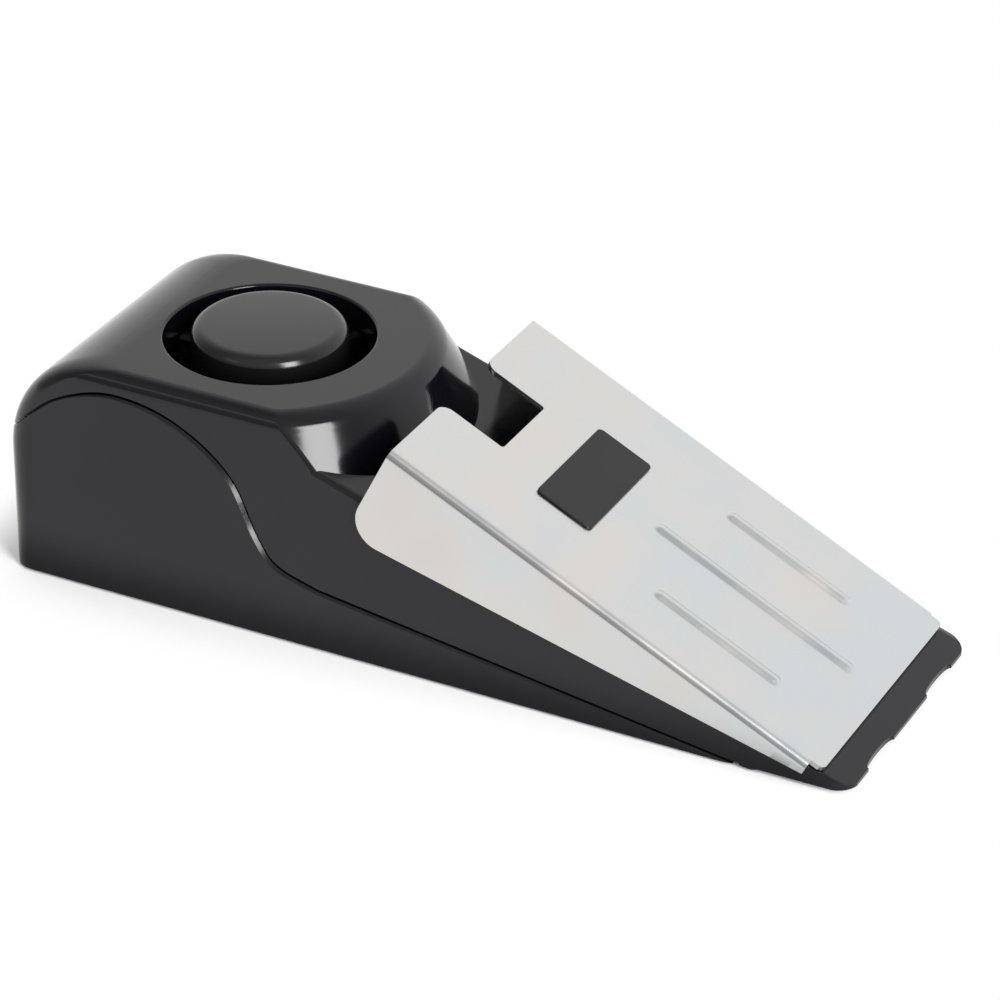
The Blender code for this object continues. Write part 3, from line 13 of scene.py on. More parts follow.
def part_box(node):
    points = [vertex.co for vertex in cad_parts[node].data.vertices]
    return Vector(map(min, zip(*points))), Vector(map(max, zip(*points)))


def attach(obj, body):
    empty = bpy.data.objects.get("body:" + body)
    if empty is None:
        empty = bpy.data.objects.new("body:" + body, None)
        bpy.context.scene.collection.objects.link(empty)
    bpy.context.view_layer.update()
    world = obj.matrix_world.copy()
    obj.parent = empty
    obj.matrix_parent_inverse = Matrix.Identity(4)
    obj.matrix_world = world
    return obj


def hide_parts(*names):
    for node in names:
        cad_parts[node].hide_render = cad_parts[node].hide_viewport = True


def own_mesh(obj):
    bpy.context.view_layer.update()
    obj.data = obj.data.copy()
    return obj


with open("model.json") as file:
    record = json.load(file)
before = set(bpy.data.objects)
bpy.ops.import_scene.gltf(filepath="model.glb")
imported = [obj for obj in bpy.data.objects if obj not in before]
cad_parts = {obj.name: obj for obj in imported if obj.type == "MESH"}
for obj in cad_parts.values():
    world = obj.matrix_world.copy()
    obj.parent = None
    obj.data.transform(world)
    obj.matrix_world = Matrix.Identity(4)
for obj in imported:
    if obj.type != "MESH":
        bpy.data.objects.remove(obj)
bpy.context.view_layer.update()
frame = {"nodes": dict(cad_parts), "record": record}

MM = 0.001

# Case, as the frame gives it
CASE_LOW, CASE_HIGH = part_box("lower_case")
NOSE_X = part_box("upper_case")[1].x
REAR_X = CASE_LOW.x
LENGTH = NOSE_X - REAR_X
WIDTH = CASE_HIGH.y - CASE_LOW.y
CASE_BOTTOM_Z = CASE_LOW.z
TOP_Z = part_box("upper_case")[1].z
CAP_LOW, CAP_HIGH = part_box("sounder_cap")
SOUNDER_X = (CAP_LOW.x + CAP_HIGH.x) / 2
SOUNDER_CENTRE = (SOUNDER_X, 0.0)
CAP_TOP_Z = CAP_HIGH.z
DOOR_LOW, DOOR_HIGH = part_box("battery_door")

# Walls and clearances
WALL = 2.0 * MM
FLOOR = 2.1 * MM
FLOOR_Z = CASE_BOTTOM_Z + FLOOR
FIT_GAP = 0.3 * MM
OVERRUN = 3.0 * MM
CLEAN_CUT = 0.05 * MM
MERGE = 0.0001 * MM

# Raised block at the rear
REAR_ARC_RADIUS = 18.0 * MM
REAR_CORNER_RADIUS = 4.0 * MM
SIDE_FILLET = 2.4 * MM
PROW_RADIUS = 26.3 * MM
PROW_FLARE = 0.56
PROW_FILLET = 2.0 * MM
PROW_CREASE_RADIUS = 1.8 * MM

# Sloping deck and nose
DECK_REAR_X = SOUNDER_X + 20.9 * MM
DECK_REAR_Z = TOP_Z - 7.6 * MM
DECK_FRONT_X = NOSE_X - 4.6 * MM
DECK_FRONT_Z = 2.85 * MM
DECK_OVERLAP = 11.0 * MM
DECK_FILLET = 1.0 * MM
DECK_SLOPE = (DECK_REAR_Z - DECK_FRONT_Z) / (DECK_FRONT_X - DECK_REAR_X)
NOSE_TOP_Z = 1.5 * MM
NOSE_FRONT_Z = 1.38 * MM
NOSE_TIP_ROUND = 0.4 * MM
NOSE_TIP_BEND = NOSE_TIP_ROUND / 4
NOSE_TIP_Z = (NOSE_TOP_Z + NOSE_FRONT_Z) / 2
NOSE_BOTTOM_Z = 0.8 * MM
NOSE_CORNER_RADIUS = 3.5 * MM
NOSE_UNDERCUT = 15.5 * MM
NOSE_STEP = 1.0 * MM
NOSE_SOLID = 31.0 * MM
NOSE_BAY_Y = 11.2 * MM
NOSE_BAY_HALF = 4.8 * MM
NOSE_BAY_DEPTH = 0.75 * MM
NOSE_BAY_POWER = 0.8

# Seam between the shells, as shares of the length and of the top's height
SEAM_CURVE_SHARES = (
    (0.0, 0.615), (0.014, 0.660), (0.037, 0.736), (0.069, 0.826), (0.112, 0.892), (0.151, 0.908),
    (0.200, 0.877), (0.249, 0.787), (0.286, 0.655), (0.313, 0.445), (0.337, 0.335), (0.385, 0.276),
)
SEAM_END_SHARE = (0.877, 0.018)
SEAM_GAP = 0.35 * MM
SEAM_GAP_STOPS = ((0.0, 0.2), (0.06, 0.2), (0.12, 1.0), (1.0, 1.0))
SEAM_CHAMFER_STOPS = (
    (0.0, 0.05 * MM), (0.08, 0.08 * MM), (0.14, 0.3 * MM), (0.2, 0.38 * MM), (0.28, 0.42 * MM),
    (0.34, 0.42 * MM), (0.42, 0.3 * MM), (1.0, 0.2 * MM))

# Sounder well, cap and webs
WELL_RADIUS = 16.4 * MM
WELL_FLOOR_Z = TOP_Z - 8.0 * MM
WELL_WALL = 1.6 * MM
WELL_RIM_ROUND = 0.5 * MM
SOUND_HOLE_RADIUS = 5.0 * MM
CAP_RADIUS = 12.2 * MM
CAP_THICKNESS = 7.4 * MM
CAP_ROUND = 2.0 * MM
CAP_FOOT_ROUND = 0.3 * MM
CAP_CROWN = 0.25 * MM
WEB_COUNT = 6
WEB_WIDTH = 1.8 * MM
WEB_TOP_Z = TOP_Z - 4.4 * MM
WEB_EDGE_ROUND = 0.25 * MM
WEB_ROOT_RADIUS = 9.0 * MM
WEB_VERTICES = 3

# Press plate, drawn flat: u runs along it, v across, n up from the hinge
JOINTS = {joint["name"]: joint for joint in frame["record"]["behaviour"]["joints"]}
HINGE = Vector(JOINTS["plate_hinge"]["pos_m"])
PLATE_TILT = math.radians(26.3)
PLATE_FRONT_U = 4.7 * MM
PLATE_LENGTH = 78.5 * MM
PLATE_REAR_U = PLATE_FRONT_U - PLATE_LENGTH
PLATE_TOP_N = 3.4 * MM
PLATE_THICKNESS = 0.8 * MM
PLATE_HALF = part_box("press_plate")[1].y
PLATE_BEND_RADIUS = 1.3 * MM
PLATE_CORNER_RADIUS = 1.2 * MM
PLATE_EDGE_ROUND = 0.15 * MM
PLATE_EDGE_STEPS = 2
PLATE_EDGE_DEGREES = 50.0
PLATE_CREASE_DEGREES = 30.0
FLANGE_REAR_DEPTH = 17.5 * MM
FLANGE_FRONT_DEPTH = 2.1 * MM
FLANGE_END = 2.2 * MM
FLANGE_CORNER_RADIUS = 4.6 * MM
NOTCH_LENGTH = 11.3 * MM
NOTCH_HALF = 7.0 * MM
NOTCH_CORNER_RADIUS = 0.5 * MM
TAB_CORNER_RADIUS = 2.1 * MM
RIB_WIDTH = 2.8 * MM
RIB_HEIGHT = 0.55 * MM
RIBS = (
    (35.8 * MM, 73.1 * MM, 0.0), (42.5 * MM, 66.0 * MM, -12.9 * MM), (42.5 * MM, 66.0 * MM, 12.9 * MM))
RIB_FLATNESS = 0.8
RIB_END_SHARE = 1.5
PLATE_MIDDLE = 50.0 * MM
PLATE_COARSE_STEP = 2.0 * MM
PLATE_FINE_STEP = 0.2 * MM
PLATE_CORNER_STEPS = 16
LUG_SWEEP_GAP = 0.8 * MM
LUG_Y = 14.0 * MM
LUG_THICKNESS = 1.6 * MM
EYE_RADIUS = 1.5 * MM
PIN_RADIUS = 0.6 * MM
SCREW_GAP = 0.15 * MM
LABEL_START = 19.5 * MM
LABEL_LENGTH = 10.0 * MM
LABEL_HALF = 10.7 * MM
LABEL_GAP = 0.1 * MM
LABEL_THICKNESS = 0.35 * MM
LABEL_CORNER_RADIUS = 0.8 * MM
LABEL_EDGE_ROUND = 0.1 * MM

# Screws, plunger and its spring, door, pads, switch knob and battery
CASE_SCREWS = ["case_screw_%d" % i for i in range(1, 5)]
BOSS_RADIUS = 2.4 * MM
SCREW_HOLE_RADIUS = 1.15 * MM
SCREW_SEAT_RADIUS = 2.1 * MM
SCREW_SEAT_DEPTH = 1.45 * MM
SCREW_HEAD_RADIUS = 1.8 * MM
SCREW_HEAD_SINK = 0.25 * MM
SCREW_HEAD_THICKNESS = 0.9 * MM
SCREW_HEAD_ROUND = 0.4 * MM
SCREW_CREASE_DEGREES = 35.0
SCREW_RADIUS = 1.0 * MM
DRIVER_HALF_LENGTH = 1.1 * MM
DRIVER_HALF_WIDTH = 0.22 * MM
DRIVER_DEPTH = 0.6 * MM
STEM_GAP_RADIUS = 2.8 * MM
STEM_RADIUS = 2.5 * MM
STEM_FLANGE_THICKNESS = 1.2 * MM
STEM_EDGE_ROUND = 0.2 * MM
SPRING_RADIUS = 4.7 * MM
SPRING_WIRE_RADIUS = 0.3 * MM
SPRING_CURLS = 6
SPRING_POINTS_PER_CURL = 28
SPRING_WIRE_SIDES = 10
SPRING_CREASE_DEGREES = 60.0
DOOR_TONGUE = 1.5 * MM
DOOR_TONGUE_REACH = 0.25 * MM
DOOR_GROOVE_REACH = 0.55 * MM
DOOR_CORNER_RADIUS = 0.6 * MM
DOOR_EDGE_ROUND = 0.18 * MM
FINGER_PAD_START = 4.0 * MM
FINGER_PAD_LENGTH = 12.4 * MM
FINGER_PAD_HALF = 6.5 * MM
FINGER_PAD_DEPTH = 0.5 * MM
FINGER_PAD_RADIUS = 1.6 * MM
FINGER_RIDGES = 6
FINGER_RIDGE_WIDTH = 0.8 * MM
FINGER_RIDGE_MARGIN = 1.2 * MM
FINGER_RIDGE_SINK = 0.06 * MM
RIDGE_ROUND = 0.2 * MM
PAD_CORNER_RADIUS = 1.2 * MM
PAD_EDGE_ROUND = 0.12 * MM
TREAD_DEPTH = 0.35 * MM
TREAD_MARGIN = 0.7 * MM
TREAD_PITCH = 1.5 * MM
TREAD_WIDTH = 0.9 * MM
KNOB_MARGIN = 1.6 * MM
KNOB_POCKET_DEPTH = 1.0 * MM
KNOB_TRAVEL = JOINTS["knob_slide"]["range_m"][1]
KNOB_RIDGES = 3
KNOB_RIDGE_PITCH = 0.6 * MM
KNOB_RIDGE_WIDTH = 0.3 * MM
KNOB_RIDGE_DEPTH = 0.2 * MM
KNOB_ROUND = RIDGE_ROUND / 2
KNOB_RIDGE_ROUND = RIDGE_ROUND / 4
BATTERY_ROUND = 1.5 * MM
BATTERY_STEPS = (
    (0.0, 0.9 * MM), (0.3 * MM, 0.4 * MM), (0.8 * MM, 0.12 * MM), (1.4 * MM, 0.0), (2.0 * MM, 0.0),
    (2.4 * MM, 0.3 * MM), (2.9 * MM, 0.3 * MM), (3.2 * MM, 0.1 * MM))
STUD_Y = 6.35 * MM
STUD_PROFILE = (
    (0.0, 0.0), (2.6 * MM, 0.0), (2.6 * MM, 0.7 * MM), (2.2 * MM, 1.2 * MM), (2.5 * MM, 2.0 * MM),
    (2.3 * MM, 2.5 * MM), (0.0, 2.5 * MM))

# Facets, creases and bevels of round shapes
PROW_STEPS = 72
REAR_STEPS = 26
CORNER_STEPS = 8
FILLET_STEPS = 8
ROUND_STEPS = 96
SMALL_ROUND_STEPS = 32
SEAM_STEPS = 6
SEAM_TRIES = 4
BEND_STEPS = 6
QUARTER = math.pi / 2
CREASE_DEGREES = 22.0
FLAT_FACE_WEIGHT = 100
BEVEL_STEPS = 3
BEVEL_DEGREES = 40.0
ROUND_PROFILE = 0.5

# Materials: sockets of the colour mixer, the noise's octaves and the noise levels that a blend runs between
MIX_FIRST = 6
MIX_SECOND = 7
MIX_RESULT = 2
PATCH_DETAIL = 3.0
GRAIN_DETAIL = 2.0
COLOUR_SPAN = (0.35, 0.65)
GLOSS_SPAN = (0.3, 0.7)
# Painted dark reflection on the steel's bends: its strength by the sideways share of the normal, and its
# colour
PAINTED_BEND_REFLECTION_STOPS = ((0.0, 0.0), (0.66, 0.0), (0.78, 1.0), (0.95, 1.0), (0.995, 0.0), (1.0, 0.0))
PAINTED_BEND_REFLECTION_COLOUR = "#8A8A8C"
WHITE = (1.0, 1.0, 1.0, 1.0)
PLASTIC_IOR = 1.5

# Camera, found from the photograph's proportions
CAMERA_PLACE = Vector((269.12, -528.45, 360.06)) * MM
CAMERA_AIM = Vector((-0.38996, 0.77439, -0.49826))
CAMERA_ROLL = math.radians(0.448)
CAMERA_LENS = 161.35
CAMERA_SENSOR = 36.0
CAMERA_REACH = 10.0

# Paper floor, which keeps the shadow to a reach round the alarm but leaves the open nose out.
# As the alarm mirrors it, the floor shows a painted shadow over that reach instead.
PAPER_HALF = 3.0
PAPER_GAP = 0.02 * MM
PAPER_COLOUR = "#F6F6F6"
PAPER_ROUGHNESS = 0.9
SHADOW_REACH = 14.0 * MM
NOSE_OPEN = 9.0 * MM

# Surroundings: levels as the alarm reflects them, and softboxes by turn, height, width, rise and radiance
BRIGHT_SIDE = (0.1, 0.995, 0.0)
DIM_FROM = -0.3
BRIGHT_FROM = 0.75
DIM_LEVEL = 0.4
BRIGHT_LEVEL = 1.2
FRONT_SIDE = (0.2, -0.75, 0.63)
FRONT_FROM = 0.55
FRONT_FULL = 0.95
FRONT_GAIN = 0.35
DIFFUSE_LEVEL = 0.75
FLOOR_LEVEL = 1.2
# Painted shadow in reflections: the mirrored floor's level close round the alarm
FLOOR_PAINTED_SHADOW_LEVEL = 0.45
FLOOR_FAR_LEVEL = 0.5
FLOOR_FAR_Y = -0.2
FLOOR_NEAR_Y = -0.08
SOFTBOX_DISTANCE = 0.8
SOFTBOXES = {
    "right_softbox": (-32.5, 21.0, 19.0, 38.0, 20.0),
    "left_softbox": (-120.0, 25.0, 18.0, 12.0, 0.9),
}


# Nodes and colours

def new_object(name, data):
    """Object with the given data, linked into the scene."""
    made = bpy.data.objects.new(name, data)
    bpy.context.collection.objects.link(made)
    return made


def new_material(name):
    """Material with its node tree and its Principled shader."""
    made = bpy.data.materials.new(name)
    made.use_nodes = True
    return made, made.node_tree, made.node_tree.nodes["Principled BSDF"]


def fill(node, inputs):
    """Give a node's inputs their values, or link them to sockets or to another node's first output."""
    for name, given in inputs.items():
        if isinstance(given, bpy.types.Node):
            given = given.outputs[0]
        if isinstance(given, bpy.types.NodeSocket):
            node.id_data.links.new(given, node.inputs[name])
        else:
            node.inputs[name].default_value = given


def add_node(tree, kind, inputs=None, **settings):
    """One shader or geometry node with its settings, and its inputs by name or number."""
    made = tree.nodes.new(kind)
    for name, value in settings.items():
        setattr(made, name, value)
    fill(made, inputs or {})
    return made


def linear(hex_colour):
    """Linear colour of an sRGB hex value."""
    parts = [int(hex_colour[i:i + 2], 16) / 255 for i in (1, 3, 5)]
    return (*[p / 12.92 if p <= 0.04045 else ((p + 0.055) / 1.055) ** 2.4 for p in parts], 1.0)


def surface(name, roughness, swing, bump_mm, grain_mm, patch_mm, first_colour, second_colour, metallic=0.0,
            ior=PLASTIC_IOR, stretch=(1.0, 1.0, 1.0), lean=0.0, painted_bend_reflection=0.0):
    """Principled material with colour patches, uneven gloss and a fine relief, each at a size in millimetres.

    The roughness swings with the patches. A lean moves the colours from the second to the first along the
    object's X, and a painted bend reflection darkens a sheet where it is bent, standing in for what the bends
    mirror.
    """
    made, tree, shader = new_material(name)
    place = add_node(tree, "ShaderNodeTexCoord").outputs["Object"]
    patches = add_node(tree, "ShaderNodeTexNoise", {
        "Vector": place, "Scale": 1 / (patch_mm * MM), "Detail": PATCH_DETAIL})
    parts = add_node(tree, "ShaderNodeSeparateXYZ", {"Vector": place})
    along = add_node(tree, "ShaderNodeMapRange", {
        "Value": parts.outputs["X"], "From Max": LENGTH / 2, "To Min": lean / 2, "To Max": -lean / 2})
    cloud = add_node(tree, "ShaderNodeMath", {0: patches, 1: along}, operation="ADD")
    blend = add_node(tree, "ShaderNodeMapRange", {
        "Value": cloud, "From Min": COLOUR_SPAN[0], "From Max": COLOUR_SPAN[1]})
    mixed = add_node(tree, "ShaderNodeMix", {
        "Factor": blend, MIX_FIRST: linear(first_colour), MIX_SECOND: linear(second_colour)},
        data_type="RGBA")
    colour = mixed.outputs[MIX_RESULT]
    # Painted dark reflection on the bends, standing in for the dark surroundings that they mirror
    if painted_bend_reflection:
        colour = paint_bend_reflection(tree, colour, painted_bend_reflection)
    gloss = add_node(tree, "ShaderNodeMapRange", {
        "Value": patches, "From Min": GLOSS_SPAN[0], "From Max": GLOSS_SPAN[1],
        "To Min": roughness - swing, "To Max": roughness + swing})
    stretched = add_node(tree, "ShaderNodeMapping", {"Vector": place, "Scale": stretch})
    grain = add_node(tree, "ShaderNodeTexNoise", {
        "Vector": stretched, "Scale": 1 / (grain_mm * MM), "Detail": GRAIN_DETAIL})
    relief = add_node(tree, "ShaderNodeBump", {"Strength": 1.0, "Distance": bump_mm * MM, "Height": grain})
    fill(shader, {"Metallic": metallic, "Base Color": colour, "Roughness": gloss, "Normal": relief})
    if not metallic:
        fill(shader, {"IOR": ior})
    return made


def paint_bend_reflection(tree, colour, depth):
    """Painted dark reflection: darker colour where the sheet turns over sideways, set by the facing of its
    normal.
    """
    facing = add_node(tree, "ShaderNodeTexCoord").outputs["Normal"]
    parts = add_node(tree, "ShaderNodeSeparateXYZ", {"Vector": facing})
    sideways = add_node(tree, "ShaderNodeMath", {0: parts.outputs["Y"]}, operation="ABSOLUTE")
    curve = add_node(tree, "ShaderNodeFloatCurve", {"Value": sideways})
    points = curve.mapping.curves[0].points
    for place, height in PAINTED_BEND_REFLECTION_STOPS[1:-1]:
        points.new(place, height)
    points[0].location.y = PAINTED_BEND_REFLECTION_STOPS[0][1]
    points[-1].location.y = PAINTED_BEND_REFLECTION_STOPS[-1][1]
    curve.mapping.update()
    share = add_node(tree, "ShaderNodeMath", {0: curve, 1: depth}, operation="MULTIPLY")
    darker = add_node(tree, "ShaderNodeMix", {
        "Factor": share, MIX_FIRST: colour, MIX_SECOND: linear(PAINTED_BEND_REFLECTION_COLOUR)}, data_type="RGBA",
        blend_type="MULTIPLY")
    return darker.outputs[MIX_RESULT]


# Solids

def from_bmesh(name, bm):
    """Object from a bmesh, which is used up."""
    mesh = bpy.data.meshes.new(name)
    bm.to_mesh(mesh)
    bm.free()
    return new_object(name, mesh)


def new_piece(name, bm):
    """Object from a bmesh, merged and with its faces turned outwards."""
    bmesh.ops.remove_doubles(bm, verts=bm.verts, dist=MERGE)
    bmesh.ops.recalc_face_normals(bm, faces=bm.faces)
    return from_bmesh(name, bm)


def prism(name, corners, rise):
    """Solid swept from a flat outline of 3-D corners along the vector rise."""
    bm = bmesh.new()
    face = bm.faces.new([bm.verts.new(corner) for corner in corners])
    grown = bmesh.ops.extrude_face_region(bm, geom=[face])
    moved = [item for item in grown["geom"] if isinstance(item, bmesh.types.BMVert)]
    bmesh.ops.translate(bm, verts=moved, vec=rise)
    return new_piece(name, bm)


def side_prism(name, outline, half_width):
    """Solid with a side view of (x, z) points."""
    return prism(name, [(x, -half_width, z) for x, z in outline], (0.0, 2 * half_width, 0.0))


def plan_prism(name, outline, low_z, high_z):
    """Solid with a plan of (x, y) points between two heights."""
    return prism(name, [(x, y, low_z) for x, y in outline], (0.0, 0.0, high_z - low_z))


def block_between(name, low, high):
    """Rectangular block between two corners, for cutting."""
    outline = ((low[0], low[1]), (high[0], low[1]), (high[0], high[1]), (low[0], high[1]))
    return plan_prism(name, outline, low[2], high[2])


def loft(name, rings):
    """Solid through a stack of rings with equal numbers of points."""
    bm = bmesh.new()
    rows = [[bm.verts.new(point) for point in ring] for ring in rings]
    count = len(rows[0])
    for lower, upper in zip(rows, rows[1:]):
        for i in range(count):
            j = (i + 1) % count
            bm.faces.new((lower[i], lower[j], upper[j], upper[i]))
    bm.faces.new(rows[0])
    bm.faces.new(rows[-1])
    return new_piece(name, bm)


def turned(name, profile, centre=(0.0, 0.0), steps=ROUND_STEPS):
    """Solid turned about the upright axis through centre, from (radius, z) points from axis to axis."""
    bm = bmesh.new()
    rings = []
    for radius, z in profile:
        count = steps if radius > 0 else 1
        turns = [math.tau * i / count for i in range(count)]
        rings.append([
            bm.verts.new((centre[0] + radius * math.cos(a), centre[1] + radius * math.sin(a), z))
            for a in turns
        ])
    for lower, upper in zip(rings, rings[1:]):
        for i in range(steps):
            j = (i + 1) % steps
            corners = [lower[i % len(lower)], lower[j % len(lower)]]
            corners += [upper[j % len(upper)], upper[i % len(upper)]]
            bm.faces.new(dict.fromkeys(corners))
    return new_piece(name, bm)


def cylinder(name, radius, low_z, high_z, centre=(0.0, 0.0), steps=SMALL_ROUND_STEPS):
    """Upright round bar, for cutting and for bosses."""
    profile = ((0.0, low_z), (radius, low_z), (radius, high_z), (0.0, high_z))
    return turned(name, profile, centre, steps)


def combine(body, tool, operation):
    """Add, cut or intersect body with a tool, which is used up."""
    step = body.modifiers.new("combine", "BOOLEAN")
    step.operation = operation
    step.solver = "EXACT"
    step.object = tool
    depsgraph = bpy.context.evaluated_depsgraph_get()
    bm = bmesh.new()
    bm.from_object(body, depsgraph)
    bmesh.ops.remove_doubles(bm, verts=bm.verts, dist=MERGE)
    bmesh.ops.dissolve_degenerate(bm, edges=bm.edges, dist=MERGE)
    body.modifiers.clear()
    bm.to_mesh(body.data)
    bm.free()
    bpy.data.objects.remove(tool)
    return body


def cut(body, *tools):
    """Take tools away from body."""
    for tool in tools:
        combine(body, tool, "DIFFERENCE")
    return body


def add(body, *tools):
    """Join tools to body."""
    for tool in tools:
        combine(body, tool, "UNION")
    return body


def join(name, pieces):
    """Several pieces as one mesh."""
    bm = bmesh.new()
    for piece in pieces:
        bm.from_mesh(piece.data)
        bpy.data.objects.remove(piece)
    return from_bmesh(name, bm)


def apply_modifiers(piece):
    """The piece's modifiers made part of its mesh."""
    depsgraph = bpy.context.evaluated_depsgraph_get()
    made = bpy.data.meshes.new_from_object(piece.evaluated_get(depsgraph))
    piece.modifiers.clear()
    piece.data = made
    return piece


def arc(centre_a, centre_b, radius, start, end, steps):
    """Points of an arc in a plane, both ends included."""
    turns = [start + (end - start) * i / steps for i in range(steps + 1)]
    return [(centre_a + radius * math.cos(a), centre_b + radius * math.sin(a)) for a in turns]


def rounded_rectangle(low_a, low_b, high_a, high_b, radius, steps=CORNER_STEPS):
    """Rectangle outline with four round corners."""
    places = (
        (high_a - radius, high_b - radius, 0), (low_a + radius, high_b - radius, 1),
        (low_a + radius, low_b + radius, 2), (high_a - radius, low_b + radius, 3),
    )
    points = []
    for a, b, turn in places:
        points += arc(a, b, radius, turn * QUARTER, (turn + 1) * QUARTER, steps)
    return points


def between(share, stops):
    """Value at a share, on straight lines between (share, value) stops."""
    for (start, first), (end, last) in zip(stops, stops[1:]):
        if share <= end:
            return first + (last - first) * max(share - start, 0.0) / (end - start)
    return stops[-1][1]


def smooth_through(points, steps):
    """Catmull-Rom curve through points, with steps pieces between each pair."""
    ends = [2 * points[0] - points[1], *points, 2 * points[-1] - points[-2]]
    curve = []
    for before, start, end, after in zip(ends, ends[1:], ends[2:], ends[3:]):
        for i in range(steps):
            t = i / steps
            bend = (end - before) * t
            bend += (2 * before - 5 * start + 4 * end - after) * t ** 2
            bend += (3 * start - before - 3 * end + after) * t ** 3
            curve.append(start + bend / 2)
    curve.append(points[-1])
    return curve


def shade(piece, sharp_degrees=CREASE_DEGREES):
    """Smooth shading with crisp edges, and flat faces kept flat."""
    piece.data.shade_smooth()
    piece.data.set_sharp_from_angle(angle=math.radians(sharp_degrees))
    weigh = piece.modifiers.new("flat_faces_flat", "WEIGHTED_NORMAL")
    weigh.keep_sharp = True
    weigh.weight = FLAT_FACE_WEIGHT
    return apply_modifiers(piece)


def soften(piece, width, segments=BEVEL_STEPS, degrees=BEVEL_DEGREES):
    """Piece with its sharp edges rounded."""
    step = piece.modifiers.new("round_edges", "BEVEL")
    step.width = width
    step.segments = segments
    step.limit_method = "ANGLE"
    step.angle_limit = math.radians(degrees)
    return apply_modifiers(piece)


def paint(piece, slot):
    """Give a piece or a CAD node the finish of its record slot."""
    piece.data.materials.clear()
    piece.data.materials.append(FINISHES[slot])


def finish_piece(piece, body, slot, *nodes):
    """Give a piece the finish of its record slot and its body, and let it stand for CAD nodes."""
    paint(piece, slot)
    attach(piece, body)
    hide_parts(*nodes)
    return piece


# Outer and inner form of the case

def deck_z(x):
    """Height of the deck's top at x."""
    return DECK_FRONT_Z + (DECK_FRONT_X - x) * DECK_SLOPE


def block_outline(z, inset):
    """Plan of the raised block at height z, drawn in by inset."""
    half = WIDTH / 2 - inset
    fillet_start = TOP_Z - SIDE_FILLET
    if z > fillet_start:
        half -= SIDE_FILLET - math.sqrt(max(SIDE_FILLET ** 2 - (z - fillet_start) ** 2, 0.0))
    rear = REAR_X + inset
    arc_start = TOP_Z - REAR_ARC_RADIUS
    if z > arc_start:
        radius = REAR_ARC_RADIUS - inset
        rise = min(z - arc_start, radius)
        rear += radius - math.sqrt(radius ** 2 - rise ** 2)
    prow = PROW_RADIUS - inset + PROW_FLARE * (TOP_Z - z)
    prow_start = TOP_Z - PROW_FILLET
    if z > prow_start:
        prow -= PROW_FILLET - math.sqrt(max(PROW_FILLET ** 2 - (z - prow_start) ** 2, 0.0))
    crease = PROW_CREASE_RADIUS
    side = math.asin((half - crease) / (prow - crease))
    crease_x = SOUNDER_X + (prow - crease) * math.cos(side)
    points = arc(SOUNDER_X, 0.0, prow, -side, side, PROW_STEPS)
    points += arc(crease_x, half - crease, crease, side, QUARTER, CORNER_STEPS)[1:]
    corner = REAR_CORNER_RADIUS - inset / 2
    points += arc(rear + corner, half - corner, corner, QUARTER, math.pi, CORNER_STEPS)
    points += arc(rear + corner, corner - half, corner, math.pi, 3 * QUARTER, CORNER_STEPS)
    points += arc(crease_x, crease - half, crease, 3 * QUARTER, math.tau - side, CORNER_STEPS)[:-1]
    return points


def block_levels(low_z, top_z, inset):
    """Heights at which the block's form changes."""
    levels = {low_z, top_z}
    radius = REAR_ARC_RADIUS - inset
    for i in range(REAR_STEPS + 1):
        levels.add(TOP_Z - REAR_ARC_RADIUS + radius * math.sin(QUARTER * i / REAR_STEPS))
    for fillet in (SIDE_FILLET, PROW_FILLET):
        for i in range(FILLET_STEPS + 1):
            levels.add(TOP_Z - fillet + fillet * math.sin(QUARTER * i / FILLET_STEPS))
    return sorted(z for z in levels if low_z <= z <= top_z)


def block(name, low_z, inset):
    """Raised block, or the space inside it when inset by the wall."""
    top_z = TOP_Z - inset
    levels = [low_z]
    for z in block_levels(low_z, top_z, inset):
        if z - levels[-1] > CLEAN_CUT / 2:
            levels.append(z)
    levels[-1] = top_z
    return loft(name, [[(x, y, z) for x, y in block_outline(z, inset)] for z in levels])


def front_corners(front, half, radius):
    """Tools that round the two front corners of a piece in plan."""
    tools = []
    for side in (-1, 1):
        centre_x = front - radius + CLEAN_CUT
        centre_y = half - radius + CLEAN_CUT
        curve = arc(centre_x, centre_y, radius, 0.0, QUARTER, CORNER_STEPS)
        curve += [
            (centre_x, half + OVERRUN), (front + OVERRUN, half + OVERRUN), (front + OVERRUN, centre_y)]
        tools.append(plan_prism("front_corner", [(x, side * y) for x, y in curve], -TOP_Z, TOP_Z))
    return tools


def wedge():
    """Sloping front half with its thin nose and rounded deck sides."""
    deck_start = DECK_REAR_X - DECK_OVERLAP
    step_x = NOSE_X - NOSE_UNDERCUT
    outline = [(deck_start, CASE_BOTTOM_Z), (deck_start, deck_z(deck_start))]
    outline += [(NOSE_X - NOSE_TIP_ROUND, NOSE_TOP_Z), (NOSE_X - NOSE_TIP_BEND, NOSE_TIP_Z)]
    outline += [(NOSE_X, NOSE_FRONT_Z), (NOSE_X, NOSE_BOTTOM_Z)]
    outline += [(step_x + NOSE_STEP, NOSE_BOTTOM_Z), (step_x, CASE_BOTTOM_Z)]
    body = side_prism("wedge", outline, WIDTH / 2)
    bm = bmesh.new()
    bm.from_mesh(body.data)
    edges = []
    for edge in bm.edges:
        ends = sorted((vert.co for vert in edge.verts), key=lambda co: co.x)
        starts_high = ends[0].x <= deck_start + MERGE and ends[0].z > DECK_REAR_Z
        if starts_high and ends[1].x > DECK_REAR_X and ends[1].z > NOSE_FRONT_Z:
            edges.append(edge)
    bmesh.ops.bevel(
        bm, geom=edges, offset=DECK_FILLET, segments=FILLET_STEPS, profile=ROUND_PROFILE, affect="EDGES")
    bm.to_mesh(body.data)
    bm.free()
    return cut(body, *front_corners(NOSE_X, WIDTH / 2, NOSE_CORNER_RADIUS))


